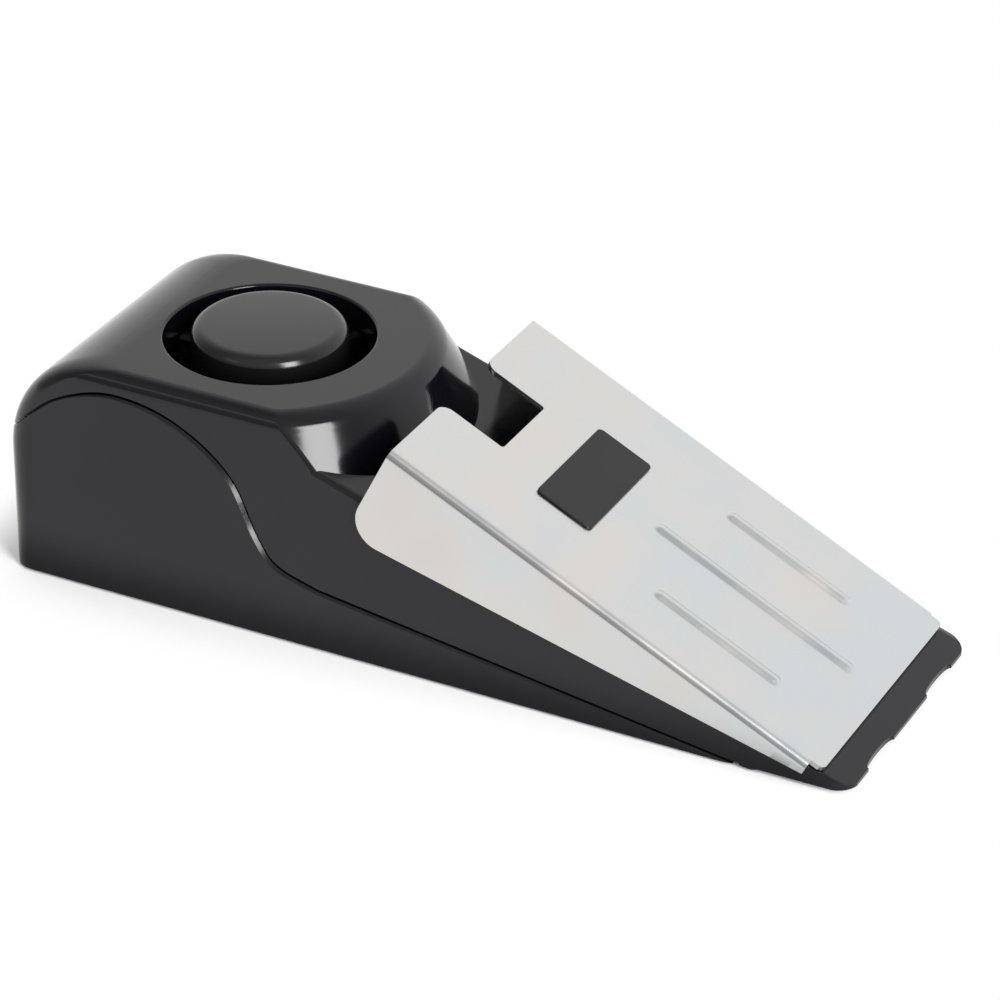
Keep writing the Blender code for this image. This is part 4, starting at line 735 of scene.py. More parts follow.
def case_form():
    """Whole outer form of both shells together."""
    return add(block("case_form", CASE_BOTTOM_Z, 0.0), wedge())


def case_space():
    """Hollow inside both shells."""
    under = WALL * math.sqrt(1 + DECK_SLOPE ** 2)
    start = DECK_REAR_X - DECK_OVERLAP
    end = NOSE_X - NOSE_SOLID
    outline = (
        (start, FLOOR_Z), (start, deck_z(start) - under), (end, deck_z(end) - under), (end, FLOOR_Z))
    return add(block("case_space", FLOOR_Z, WALL), side_prism("wedge_space", outline, WIDTH / 2 - WALL))


# Seam

def seam_line(drop):
    """Seam seen from the side, lowered by drop."""
    points = [
        Vector((REAR_X + LENGTH * a, TOP_Z * b - drop * between(a, SEAM_GAP_STOPS)))
        for a, b in SEAM_CURVE_SHARES]
    curve = smooth_through(points, SEAM_STEPS)
    end = Vector((REAR_X + LENGTH * SEAM_END_SHARE[0], TOP_Z * SEAM_END_SHARE[1] - drop))
    slope = (end - curve[-1]) / (end - curve[-1]).length
    return [curve[0] - Vector((OVERRUN, 0.0)), *curve, end, end + slope * LENGTH]


def beside_seam(drop, above):
    """Tool that keeps what lies above or below the seam's line, lowered by drop."""
    line = seam_line(drop)
    far_z = TOP_Z + OVERRUN if above else line[-1].y - OVERRUN
    corners = [Vector((line[-1].x, far_z)), Vector((line[0].x, far_z))]
    return side_prism("beside_seam", line + corners, WIDTH)


def seam_height(x):
    """Height of the middle of the seam's gap at x."""
    line = seam_line(SEAM_GAP / 2)
    for start, end in zip(line, line[1:]):
        if start.x <= x <= end.x:
            return start.y + (end.y - start.y) * (x - start.x) / (end.x - start.x)
    return line[-1].y


def seam_path():
    """Points and outward directions along the seam, from the near side round the rear to the far side."""
    half = WIDTH / 2
    corner_start = rear_corner_point(3 * QUARTER, REAR_CORNER_RADIUS - half)
    side = [
        Vector((p.x, -half, p.y)) for p in seam_line(SEAM_GAP / 2)
        if corner_start.x + FIT_GAP < p.x < NOSE_X - NOSE_UNDERCUT]
    path = [(p, Vector((0.0, -1.0, 0.0))) for p in reversed(side)]
    steps = 2 * CORNER_STEPS
    for i in range(steps + 1):
        turn = 3 * QUARTER - QUARTER * i / steps
        place = rear_corner_point(turn, REAR_CORNER_RADIUS - half)
        path.append((place, Vector((math.cos(turn), math.sin(turn), 0.0))))
    return path + [
        (Vector((p.x, -p.y, p.z)), Vector((n.x, -n.y, n.z))) for p, n in reversed(path)]


def rear_corner_point(turn, centre_y):
    """Point of the seam on a rear corner of the block, at a turn about that corner's axis."""
    z = seam_height(REAR_X)
    for _ in range(SEAM_TRIES):
        rise = max(z - (TOP_Z - REAR_ARC_RADIUS), 0.0)
        rear = REAR_X + REAR_ARC_RADIUS - math.sqrt(REAR_ARC_RADIUS ** 2 - rise ** 2)
        x = rear + REAR_CORNER_RADIUS * (1 + math.cos(turn))
        z = seam_height(x)
    return Vector((x, centre_y + REAR_CORNER_RADIUS * math.sin(turn), z))


def seam_groove():
    """Tool with a diamond section that breaks both lips of the seam."""
    path = seam_path()
    rings = []
    for i, (place, out) in enumerate(path):
        before = path[max(i - 1, 0)][0]
        after = path[min(i + 1, len(path) - 1)][0]
        along = (after - before).normalized()
        out = (out - along * out.dot(along)).normalized()
        up = along.cross(out)
        reach = SEAM_GAP / 2 + between((place.x - REAR_X) / LENGTH, SEAM_CHAMFER_STOPS)
        rings.append([place + up * reach, place - out * reach, place - up * reach, place + out * reach])
    return loft("seam_groove", rings)


# Case shells

def well_tool():
    """Round well with a broken rim."""
    rim = WELL_RIM_ROUND
    profile = [(0.0, WELL_FLOOR_Z), (WELL_RADIUS, WELL_FLOOR_Z)]
    profile += [
        (r, z) for r, z in arc(WELL_RADIUS + rim, TOP_Z - rim, rim, math.pi, QUARTER, FILLET_STEPS)]
    profile += [(WELL_RADIUS + rim, TOP_Z + OVERRUN), (0.0, TOP_Z + OVERRUN)]
    return turned("well", profile, SOUNDER_CENTRE)


def screw_places():
    """Centres of the four case screws."""
    boxes = [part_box(name) for name in CASE_SCREWS]
    return [((low.x + high.x) / 2, (low.y + high.y) / 2) for low, high in boxes]


def node_box(name, grow):
    """Block round a CAD node, grown by a clearance."""
    low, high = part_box(name)
    return (low.x - grow, low.y - grow), (high.x + grow, high.y + grow)


def nose_cuts():
    """Pad recess, pin groove, lug slots and front bays of the nose."""
    low, high = node_box("grip_pad_front", FIT_GAP)
    recess_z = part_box("grip_pad_front")[1].z + FIT_GAP
    cuts = [block_between("recess", (*low, -OVERRUN), (*high, recess_z))]
    pin_low, pin_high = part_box("hinge_pin")
    side = PIN_RADIUS + SCREW_GAP
    groove_low = (HINGE.x - side, pin_low.y - FIT_GAP, -OVERRUN)
    groove_high = (HINGE.x + side, pin_high.y + FIT_GAP, HINGE.z + side)
    cuts.append(block_between("groove", groove_low, groove_high))
    reach = EYE_RADIUS + LUG_SWEEP_GAP
    for side_y in (-LUG_Y, LUG_Y):
        half = LUG_THICKNESS / 2 + FIT_GAP
        slot_low = (HINGE.x - reach, side_y - half, -OVERRUN)
        cuts.append(block_between("slot", slot_low, (HINGE.x + reach, side_y + half, TOP_Z)))
    for side_y in (-NOSE_BAY_Y, NOSE_BAY_Y):
        cuts.append(plan_prism("bay", bay_outline(side_y), -OVERRUN, TOP_Z))
    return cuts


def bay_outline(side_y):
    """Plan of one shallow bay between the feet of the nose's front edge."""
    turns = [math.pi * i / SMALL_ROUND_STEPS for i in range(1, SMALL_ROUND_STEPS)]
    curve = [
        (NOSE_X - NOSE_BAY_DEPTH * math.sin(a) ** NOSE_BAY_POWER, side_y + NOSE_BAY_HALF * math.cos(a))
        for a in turns]
    front = NOSE_X + OVERRUN
    return [(front, side_y - NOSE_BAY_HALF), (front, side_y + NOSE_BAY_HALF), *curve]


def upper_case():
    """Black shell with the sounder well, the deck and the nose."""
    shell = cut(case_form(), case_space())
    shell.name = "upper_shell"
    combine(shell, beside_seam(0.0, True), "INTERSECT")
    posts = cylinder("posts", BOSS_RADIUS, FLOOR_Z + FIT_GAP, TOP_Z, screw_places()[0])
    for place in screw_places()[1:]:
        add(posts, cylinder("boss", BOSS_RADIUS, FLOOR_Z + FIT_GAP, TOP_Z, place))
    low = WELL_FLOOR_Z - WELL_WALL
    high = TOP_Z - WALL / 2
    add(posts, cylinder("well_wall", WELL_RADIUS + WELL_WALL, low, high, SOUNDER_CENTRE, ROUND_STEPS))
    combine(posts, case_form(), "INTERSECT")
    add(shell, posts)
    cut(shell, well_tool())
    cut(shell, cylinder("sound", SOUND_HOLE_RADIUS, low - FIT_GAP, TOP_Z, SOUNDER_CENTRE))
    stem_low, stem_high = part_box("plunger")
    stem_x = (stem_low.x + stem_high.x) / 2
    cut(shell, cylinder("bore", STEM_GAP_RADIUS, FLOOR_Z, TOP_Z, (stem_x, 0.0)))
    cut(shell, *nose_cuts())
    return cut(shell, seam_groove())


def lower_case():
    """Black tray that closes the case from below."""
    shell = cut(case_form(), case_space())
    shell.name = "lower_shell"
    combine(shell, beside_seam(SEAM_GAP, False), "INTERSECT")
    for place in screw_places():
        cut(shell, cylinder("hole", SCREW_HOLE_RADIUS, -OVERRUN, FLOOR_Z + OVERRUN, place))
        seat_z = CASE_BOTTOM_Z + SCREW_SEAT_DEPTH
        cut(shell, cylinder("seat", SCREW_SEAT_RADIUS, -OVERRUN, seat_z, place))
    for name in ("grip_pad_left", "grip_pad_right"):
        low, high = node_box(name, FIT_GAP)
        outline = rounded_rectangle(*low, *high, PAD_CORNER_RADIUS)
        cut(shell, plan_prism("recess", outline, -OVERRUN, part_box(name)[1].z + FIT_GAP))
    door_half = DOOR_HIGH.y - DOOR_TONGUE + FIT_GAP
    front = DOOR_HIGH.x + FIT_GAP
    mid = (DOOR_LOW.z + DOOR_HIGH.z) / 2
    reach = DOOR_GROOVE_REACH
    cut(
        shell,
        block_between(
            "opening", (REAR_X + WALL, -door_half, -OVERRUN), (front, door_half, FLOOR_Z + FIT_GAP)),
        block_between(
            "notch", (REAR_X - OVERRUN, -door_half, -OVERRUN),
            (REAR_X + 2 * WALL, door_half, DOOR_HIGH.z + FIT_GAP)),
        block_between(
            "grooves", (REAR_X - OVERRUN, DOOR_LOW.y - FIT_GAP, mid - reach),
            (front, DOOR_HIGH.y + FIT_GAP, mid + reach)))
    low, high = node_box("slide_switch_knob", FIT_GAP)
    high = (high[0] + KNOB_TRAVEL, high[1])
    margin = KNOB_MARGIN
    outline = rounded_rectangle(
        low[0] - margin, low[1] - margin, high[0] + margin, high[1] + margin, margin / 2)
    cut(
        shell,
        plan_prism("pocket", outline, -OVERRUN, CASE_BOTTOM_Z + KNOB_POCKET_DEPTH),
        block_between("slot", (*low, -OVERRUN), (*high, FLOOR_Z + OVERRUN)))
    return cut(shell, seam_groove())


# Press plate

def on_plate(piece):
    """Stand a piece drawn flat in the plate's own axes in its real place."""
    place = Matrix.Translation(HINGE) @ Matrix.Rotation(PLATE_TILT, 4, "Y")
    piece.data.transform(place)
    return piece


def rib_rise(u, v):
    """Height of the pressed ribs above the sheet at (u, v)."""
    half = RIB_WIDTH / 2
    rise = 0.0
    for start, end, rib_v in RIBS:
        low = PLATE_REAR_U + start + half
        high = PLATE_REAR_U + end - half
        away = math.hypot(u - min(max(u, low), high), v - rib_v)
        if away < half:
            rise = max(rise, RIB_HEIGHT * (0.5 + 0.5 * math.cos(math.pi * away / half)) ** RIB_FLATNESS)
    return rise


def grid_lines(low, high, coarse, fine_spans, fine):
    """Places from low to high, close together inside the fine spans."""
    places = {low, high}
    count = math.ceil((high - low) / coarse)
    places |= {low + (high - low) * i / count for i in range(count + 1)}
    for start, end in fine_spans:
        steps = math.ceil((end - start) / fine)
        places = {p for p in places if p <= start or p >= end}
        places |= {start + (end - start) * i / steps for i in range(steps + 1)}
    return sorted(places)


def plate_top_lines():
    """Lines across the plate's flat top, between the two bends."""
    flat = PLATE_HALF - PLATE_BEND_RADIUS
    spans = [(v - RIB_WIDTH / 2, v + RIB_WIDTH / 2) for _, _, v in RIBS]
    return grid_lines(-flat, flat, PLATE_COARSE_STEP, spans, PLATE_FINE_STEP)


def plate_section(u, depth):
    """Section of the bent sheet at u, with its ribs: outer skin, then inner skin."""
    top = PLATE_TOP_N
    outer = PLATE_BEND_RADIUS
    inner = outer - PLATE_THICKNESS
    flat = PLATE_HALF - outer
    across = plate_top_lines()
    skin = [(-PLATE_HALF, top - depth)]
    skin += arc(-flat, top - outer, outer, 2 * QUARTER, QUARTER, BEND_STEPS)[:-1]
    skin += [(v, top + rib_rise(u, v)) for v in across]
    skin += arc(flat, top - outer, outer, QUARTER, 0.0, BEND_STEPS)[1:]
    skin += [(PLATE_HALF, top - depth), (PLATE_HALF - PLATE_THICKNESS, top - depth)]
    skin += arc(flat, top - outer, inner, 0.0, QUARTER, BEND_STEPS)[:-1]
    skin += [(v, top - PLATE_THICKNESS + rib_rise(u, v)) for v in reversed(across)]
    skin += arc(-flat, top - outer, inner, QUARTER, 2 * QUARTER, BEND_STEPS)[1:]
    return skin + [(PLATE_THICKNESS - PLATE_HALF, top - depth)]


def flange_depth(u):
    """Depth of the side flanges at u: a round rear corner and a straight taper."""
    end = PLATE_FRONT_U - FLANGE_END
    fall = (FLANGE_REAR_DEPTH - FLANGE_FRONT_DEPTH) / (end - PLATE_REAR_U)
    radius = FLANGE_CORNER_RADIUS
    if u > end:
        return FLANGE_FRONT_DEPTH
    lean = math.atan(fall)
    centre_depth = FLANGE_REAR_DEPTH - fall * radius - radius / math.cos(lean)
    along = u - PLATE_REAR_U - radius
    if along < radius * math.sin(lean):
        return centre_depth + math.sqrt(max(radius ** 2 - along ** 2, 0.0))
    return FLANGE_REAR_DEPTH - fall * (u - PLATE_REAR_U)


def notch_outline():
    """Rear notch of the plate, with round inner corners and rounded tabs beside its mouth."""
    rear = PLATE_REAR_U
    tab = TAB_CORNER_RADIUS
    mouth = rear + tab - CLEAN_CUT
    inner = rear + NOTCH_LENGTH - NOTCH_CORNER_RADIUS
    side = NOTCH_HALF - NOTCH_CORNER_RADIUS
    reach = NOTCH_HALF + tab
    points = [(rear - OVERRUN, -reach)]
    points += arc(mouth, -reach, tab, 2 * QUARTER, QUARTER, CORNER_STEPS)
    points += arc(inner, -side, NOTCH_CORNER_RADIUS, -QUARTER, 0.0, CORNER_STEPS)
    points += arc(inner, side, NOTCH_CORNER_RADIUS, 0.0, QUARTER, CORNER_STEPS)
    points += arc(mouth, reach, tab, -QUARTER, -2 * QUARTER, CORNER_STEPS)
    return [*points, (rear - OVERRUN, reach)]


def plate_sheet():
    """Bent sheet with smooth pressed ribs and round edges."""
    radius = FLANGE_CORNER_RADIUS
    end = PLATE_FRONT_U - FLANGE_END
    spans = [rib_end_span(place) for place in sorted({s for rib in RIBS for s in rib[:2]})]
    lines = grid_lines(PLATE_REAR_U, end, PLATE_COARSE_STEP, spans, PLATE_FINE_STEP)
    lean = math.atan((FLANGE_REAR_DEPTH - FLANGE_FRONT_DEPTH) / (end - PLATE_REAR_U))
    last_turn = QUARTER + lean
    turns = [last_turn * i / PLATE_CORNER_STEPS for i in range(PLATE_CORNER_STEPS + 1)]
    corner = [PLATE_REAR_U + radius * (1 - math.cos(turn)) for turn in turns]
    lines = sorted({*corner, *[u for u in lines if u > corner[-1] + MERGE]})
    lines.append(PLATE_FRONT_U)
    rings = [[(u, v, n) for v, n in plate_section(u, flange_depth(u))] for u in lines]
    body = loft("plate_sheet", rings)
    cut(body, *flange_reliefs())
    cut(body, *front_corners(PLATE_FRONT_U, PLATE_HALF - PLATE_BEND_RADIUS, PLATE_CORNER_RADIUS))
    low = PLATE_TOP_N - PLATE_THICKNESS - OVERRUN
    return cut(body, plan_prism("notch", notch_outline(), low, PLATE_TOP_N + OVERRUN))


def rib_end_span(place):
    """Stretch of the plate with finer lines at a rib's end."""
    side = RIB_WIDTH / 2
    middle = PLATE_REAR_U + place
    if place < PLATE_MIDDLE:
        return middle - side / 2, middle + side * RIB_END_SHARE
    return middle - side * RIB_END_SHARE, middle + side / 2


def flange_reliefs():
    """Tools that leave only the flat sheet in front of the side flanges."""
    start = PLATE_FRONT_U - FLANGE_END
    end = PLATE_FRONT_U + OVERRUN
    low = PLATE_TOP_N - FLANGE_FRONT_DEPTH - OVERRUN
    high = PLATE_TOP_N + OVERRUN
    near, far = PLATE_HALF - PLATE_BEND_RADIUS, PLATE_HALF + OVERRUN
    return (
        block_between("relief", (start, near, low), (end, far, high)),
        block_between("relief", (start, -far, low), (end, -near, high)))


def plate_lugs():
    """Two eyes under the plate's front that turn on the hinge pin."""
    top = PLATE_TOP_N - PLATE_THICKNESS
    hole = PIN_RADIUS + SCREW_GAP
    outer = arc(0.0, 0.0, EYE_RADIUS, math.pi, math.tau, SMALL_ROUND_STEPS)
    outer = [(-EYE_RADIUS, top), *outer, (EYE_RADIUS, top)]
    turns = [math.tau * i / SMALL_ROUND_STEPS for i in range(SMALL_ROUND_STEPS)]
    made = []
    for side_y in (-LUG_Y, LUG_Y):
        low_y = side_y - LUG_THICKNESS / 2
        lug = prism("lug", [(u, low_y, n) for u, n in outer], (0.0, LUG_THICKNESS, 0.0))
        eye = [(hole * math.cos(a), low_y - OVERRUN, hole * math.sin(a)) for a in turns]
        made.append(cut(lug, prism("eye", eye, (0.0, LUG_THICKNESS + 2 * OVERRUN, 0.0))))
    return made


def plate_label():
    """Thin bare plate with a round edge on the press plate."""
    start = PLATE_REAR_U + LABEL_START
    low = PLATE_TOP_N + LABEL_GAP
    rings = []
    top = low + LABEL_THICKNESS
    for draw_in, z in ((0.0, low), (0.0, top - LABEL_EDGE_ROUND), (LABEL_EDGE_ROUND, top)):
        outline = rounded_rectangle(
            start + draw_in, draw_in - LABEL_HALF, start + LABEL_LENGTH - draw_in, LABEL_HALF - draw_in,
            LABEL_CORNER_RADIUS)
        rings.append([(u, v, z) for u, v in outline])
    return on_plate(loft("label_plate", rings))


# Sounder

def sounder_cap():
    """Round cap with a soft edge and a slightly crowned top."""
    inner = CAP_RADIUS - CAP_ROUND
    low = CAP_TOP_Z - CAP_THICKNESS
    shoulder = CAP_TOP_Z - CAP_CROWN
    profile = [(0.0, low), (CAP_RADIUS - CAP_FOOT_ROUND, low), (CAP_RADIUS, low + CAP_FOOT_ROUND)]
    profile += arc(inner, shoulder - CAP_ROUND, CAP_ROUND, 0.0, QUARTER, FILLET_STEPS)
    for i in range(1, FILLET_STEPS):
        share = 1 - i / FILLET_STEPS
        profile.append((inner * share, shoulder + CAP_CROWN * (1 - share ** 2)))
    profile.append((0.0, CAP_TOP_Z))
    return turned("cap", profile, SOUNDER_CENTRE)


def new_tree(name, sockets):
    """Geometry node tree with named inputs and a mesh for its output, and what its inputs give."""
    tree = bpy.data.node_groups.new(name, "GeometryNodeTree")
    for socket, kind in sockets.items():
        tree.interface.new_socket(socket, in_out="INPUT", socket_type="NodeSocket" + kind)
    tree.interface.new_socket("Mesh", in_out="OUTPUT", socket_type="NodeSocketGeometry")
    return tree, add_node(tree, "NodeGroupInput").outputs


def give_out(tree, instances, material):
    """Make a tree's instances real, give them their material and put them out."""
    real = add_node(tree, "GeometryNodeRealizeInstances", {"Geometry": instances})
    coloured = add_node(tree, "GeometryNodeSetMaterial", {"Geometry": real, "Material": material})
    add_node(tree, "NodeGroupOutput", {"Mesh": coloured})
    return tree


def bars_tree(material):
    """Geometry nodes that repeat a bar along a line, spread over a turn, each offset in its own direction."""
    tree, given = new_tree("repeated_bars", {
        "Count": "Int", "Start": "Vector", "Step": "Vector", "Turn": "Vector", "Size": "Vector",
        "Vertices": "Int", "Offset": "Vector"})
    line = add_node(tree, "GeometryNodeMeshLine", {
        "Count": given["Count"], "Start Location": given["Start"], "Offset": given["Step"]}, mode="OFFSET")
    bar = add_node(tree, "GeometryNodeMeshCube", {
        "Size": given["Size"], "Vertices X": given["Vertices"], "Vertices Y": given["Vertices"],
        "Vertices Z": given["Vertices"]})
    moved = add_node(tree, "GeometryNodeTransform", {"Geometry": bar, "Translation": given["Offset"]})
    index = add_node(tree, "GeometryNodeInputIndex")
    share = add_node(tree, "ShaderNodeMath", {0: index, 1: given["Count"]}, operation="DIVIDE")
    turn = add_node(tree, "ShaderNodeVectorMath", {0: given["Turn"], "Scale": share}, operation="SCALE")
    spread = add_node(tree, "GeometryNodeInstanceOnPoints", {
        "Points": line, "Instance": moved, "Rotation": turn})
    return give_out(tree, spread, material)


def grown(name, tree, **sizes):
    """Plain mesh that a tree makes with the given sizes."""
    return grow(new_object(name, bpy.data.meshes.new(name)), tree, **sizes)


def grow(piece, tree, **sizes):
    """Run a tree on a piece with the given inputs."""
    step = piece.modifiers.new("grow", "NODES")
    step.node_group = tree
    for item in tree.interface.items_tree:
        if item.in_out == "INPUT" and item.name in sizes:
            step[item.identifier] = sizes[item.name]
    return apply_modifiers(piece)


def sounder_webs(material):
    """Six webs that hold the cap in the well, each from under the cap out to the well's wall."""
    low = WELL_FLOOR_Z + FIT_GAP
    length = WELL_RADIUS - FIT_GAP - WEB_ROOT_RADIUS
    webs = grown(
        "cap_webs", bars_tree(material), Count=WEB_COUNT, Turn=(0.0, 0.0, math.tau), Vertices=WEB_VERTICES,
        Size=(length, WEB_WIDTH, WEB_TOP_Z - low), Offset=(WEB_ROOT_RADIUS + length / 2, 0.0, 0.0))
    webs.data.transform(Matrix.Translation((SOUNDER_X, 0.0, (low + WEB_TOP_Z) / 2)))
    return soften(webs, WEB_EDGE_ROUND)


# Underside, plunger, spring and battery

def scatter_tree(material):
    """Geometry nodes that set one shape on every point of the piece's own mesh."""
    tree, given = new_tree("shape_on_each_point", {"Points": "Geometry", "Shape": "Object"})
    shape = add_node(tree, "GeometryNodeObjectInfo", {"Object": given["Shape"]})
    spread = add_node(tree, "GeometryNodeInstanceOnPoints", {
        "Points": given["Points"], "Instance": shape.outputs["Geometry"]})
    return give_out(tree, spread, material)


def bars(name, material, count, start, step, size, edge=RIDGE_ROUND):
    """Row of bars with rounded edges, from the middle of the first."""
    made = grown(name, bars_tree(material), Count=count, Start=start, Step=step, Size=size, Vertices=2)
    return soften(made, edge)


def case_screw(name):
    """One pan-head screw with a cross drive, its head facing down."""
    low = CASE_BOTTOM_Z + SCREW_HEAD_SINK
    seat = low + SCREW_HEAD_THICKNESS
    edge = SCREW_HEAD_RADIUS - SCREW_HEAD_ROUND
    profile = [(0.0, low)]
    profile += arc(edge, low + SCREW_HEAD_ROUND, SCREW_HEAD_ROUND, -QUARTER, 0.0, FILLET_STEPS)
    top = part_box(CASE_SCREWS[0])[1].z
    profile += [(SCREW_HEAD_RADIUS, seat), (SCREW_RADIUS, seat), (SCREW_RADIUS, top), (0.0, top)]
    screw = turned(name, profile, steps=SMALL_ROUND_STEPS)
    for along, across in ((DRIVER_HALF_LENGTH, DRIVER_HALF_WIDTH), (DRIVER_HALF_WIDTH, DRIVER_HALF_LENGTH)):
        low_corner = (-along, -across, low - OVERRUN)
        cut(screw, block_between("driver", low_corner, (along, across, low + DRIVER_DEPTH)))
    return screw


def case_screws(material):
    """Four screws that hold the shells together, on the places of the frame."""
    shape = shade(case_screw("screw_shape"), SCREW_CREASE_DEGREES)
    points = bpy.data.meshes.new("screw_points")
    points.from_pydata([(x, y, 0.0) for x, y in screw_places()], [], [])
    screws = grow(new_object("pan_head_screws", points), scatter_tree(material), Shape=shape)
    bpy.data.objects.remove(shape)
    return screws


def battery_door(material):
    """Sliding door with tongues along its sides and ridges in a sunk finger pad."""
    low, high = DOOR_LOW, DOOR_HIGH
    half = high.y - DOOR_TONGUE
    outline = rounded_rectangle(low.x, -half, high.x, half, DOOR_CORNER_RADIUS)
    slab = plan_prism("door_slab", outline, low.z, high.z)
    mid = (low.z + high.z) / 2
    reach = DOOR_TONGUE_REACH
    add(slab, block_between("tongues", (low.x, low.y, mid - reach), (high.x, high.y, mid + reach)))
    start = low.x + FINGER_PAD_START
    end = start + FINGER_PAD_LENGTH
    pad = rounded_rectangle(start, -FINGER_PAD_HALF, end, FINGER_PAD_HALF, FINGER_PAD_RADIUS)
    cut(slab, plan_prism("finger_pad", pad, low.z - OVERRUN, low.z + FINGER_PAD_DEPTH))
    slab = soften(slab, DOOR_EDGE_ROUND)
    pitch = (FINGER_PAD_LENGTH - 2 * FINGER_RIDGE_MARGIN - FINGER_RIDGE_WIDTH) / (FINGER_RIDGES - 1)
    first = start + FINGER_RIDGE_MARGIN + FINGER_RIDGE_WIDTH / 2
    ridge_low = low.z + FINGER_RIDGE_SINK
    size = (FINGER_RIDGE_WIDTH, 2 * (FINGER_PAD_HALF - FINGER_RIDGE_MARGIN), mid - ridge_low)
    middle = (first, 0.0, (mid + ridge_low) / 2)
    ridges = bars("ridges", material, FINGER_RIDGES, middle, (pitch, 0.0, 0.0), size)
    return join("ridged_battery_door", [slab, ridges])


def grip_pad(name, material):
    """Rubber pad with a tread of bars across its shorter side."""
    low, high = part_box(name)
    outline = rounded_rectangle(low.x, low.y, high.x, high.y, PAD_CORNER_RADIUS)
    slab = soften(plan_prism("pad_slab", outline, low.z + TREAD_DEPTH, high.z), PAD_EDGE_ROUND)
    size = high - low
    lies_along = 0 if size.x > size.y else 1
    room = size[lies_along] - 2 * PAD_CORNER_RADIUS
    count = int(room / TREAD_PITCH) + 1
    step = [0.0, 0.0, 0.0]
    step[lies_along] = TREAD_PITCH
    bar = [size.x - 2 * TREAD_MARGIN, size.y - 2 * TREAD_MARGIN, size.z - TREAD_DEPTH]
    bar[lies_along] = TREAD_WIDTH
    middle = (low + high) / 2
    middle.z = low.z + bar[2] / 2
    middle[lies_along] -= TREAD_PITCH * (count - 1) / 2
    tread = bars("tread", material, count, middle, step, bar)
    return join("treaded_" + name, [slab, tread])


def switch_knob(material):
    """Knob of the arming switch with ridges on its tip."""
    low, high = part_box("slide_switch_knob")
    tip = low.z + KNOB_RIDGE_DEPTH
    body = soften(block_between("knob_body", (low.x, low.y, tip), high), KNOB_ROUND)
    middle = (low + high) / 2
    first = (middle.x - KNOB_RIDGE_PITCH * (KNOB_RIDGES - 1) / 2, middle.y, tip)
    size = (KNOB_RIDGE_WIDTH, high.y - low.y - RIDGE_ROUND, 2 * KNOB_RIDGE_DEPTH)
    step = (KNOB_RIDGE_PITCH, 0.0, 0.0)
    ridges = bars("knob_ridges", material, KNOB_RIDGES, first, step, size, KNOB_RIDGE_ROUND)
    return join("ridged_knob", [body, ridges])


def plunger_stem():
    """Plunger with a flange for the spring and a domed tip."""
    low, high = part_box("plunger")
    edge = STEM_EDGE_ROUND
    flange = (high.x - low.x) / 2
    top = low.z + STEM_FLANGE_THICKNESS
    profile = [(0.0, low.z), (flange - edge, low.z), (flange, low.z + edge), (flange, top - edge)]
    profile += [(flange - edge, top), (STEM_RADIUS + edge, top), (STEM_RADIUS, top + edge)]
    profile += arc(0.0, high.z - STEM_RADIUS, STEM_RADIUS, 0.0, QUARTER, CORNER_STEPS)[:-1]
    profile.append((0.0, high.z))
    return turned("domed_plunger", profile, ((low.x + high.x) / 2, (low.y + high.y) / 2))


def coil_spring():
    """Open coil of round wire that holds the plunger up."""
    low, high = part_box("return_spring")
    stem_low, stem_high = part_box("plunger")
    centre_x = (stem_low.x + stem_high.x) / 2
    start = low.z + SPRING_WIRE_RADIUS
    rise = high.z - SPRING_WIRE_RADIUS - start
    count = SPRING_CURLS * SPRING_POINTS_PER_CURL
    climb = rise / (math.tau * SPRING_CURLS)
    rings = []
    for i in range(count + 1):
        turn = math.tau * i / SPRING_POINTS_PER_CURL
        outward = Vector((math.cos(turn), math.sin(turn), 0.0))
        along = Vector((-SPRING_RADIUS * outward.y, SPRING_RADIUS * outward.x, climb)).normalized()
        upward = outward.cross(along)
        middle = Vector((centre_x, 0.0, start + rise * i / count)) + SPRING_RADIUS * outward
        angles = [math.tau * k / SPRING_WIRE_SIDES for k in range(SPRING_WIRE_SIDES)]
        rings.append([
            middle + SPRING_WIRE_RADIUS * (outward * math.cos(a) + upward * math.sin(a)) for a in angles])
    return loft("coil_spring", rings)


def follow_plunger(spring):
    """Give the spring a mesh of its own."""
    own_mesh(spring)


def nine_volt_battery():
    """Block battery with rolled ends and two studs."""
    low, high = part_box("battery")
    front = high.x - STUD_PROFILE[-1][1]
    stations = [(low.x + run, draw_in) for run, draw_in in BATTERY_STEPS]
    stations += [(front - run, draw_in) for run, draw_in in reversed(BATTERY_STEPS)]
    rings = []
    for x, draw_in in stations:
        outline = rounded_rectangle(
            low.y + draw_in, low.z + draw_in, high.y - draw_in, high.z - draw_in, BATTERY_ROUND)
        rings.append([(x, y, z) for y, z in outline])
    pieces = [loft("can", rings)]
    for side in (-1, 1):
        stud = turned("stud", STUD_PROFILE, steps=SMALL_ROUND_STEPS)
        place = Matrix.Translation((front, side * STUD_Y, (low.z + high.z) / 2))
        stud.data.transform(place @ Matrix.Rotation(QUARTER, 4, "Y"))
        pieces.append(stud)
    return join("nine_volt_block", pieces)


# Camera, light and stage

def make_camera():
    """Camera at the photograph's viewing angle."""
    data = bpy.data.cameras.new("camera")
    data.lens = CAMERA_LENS
    data.sensor_width = CAMERA_SENSOR
    data.clip_end = CAMERA_REACH
    camera = new_object("camera", data)
    aim = CAMERA_AIM.normalized()
    right = aim.cross(Vector((0.0, 0.0, 1.0))).normalized()
    up = right.cross(aim)
    across = right * math.cos(CAMERA_ROLL) + up * math.sin(CAMERA_ROLL)
    rise = up * math.cos(CAMERA_ROLL) - right * math.sin(CAMERA_ROLL)
    turn = Matrix((across, rise, -aim)).transposed()
    camera.matrix_world = Matrix.Translation(CAMERA_PLACE) @ turn.to_4x4()
    bpy.context.scene.camera = camera


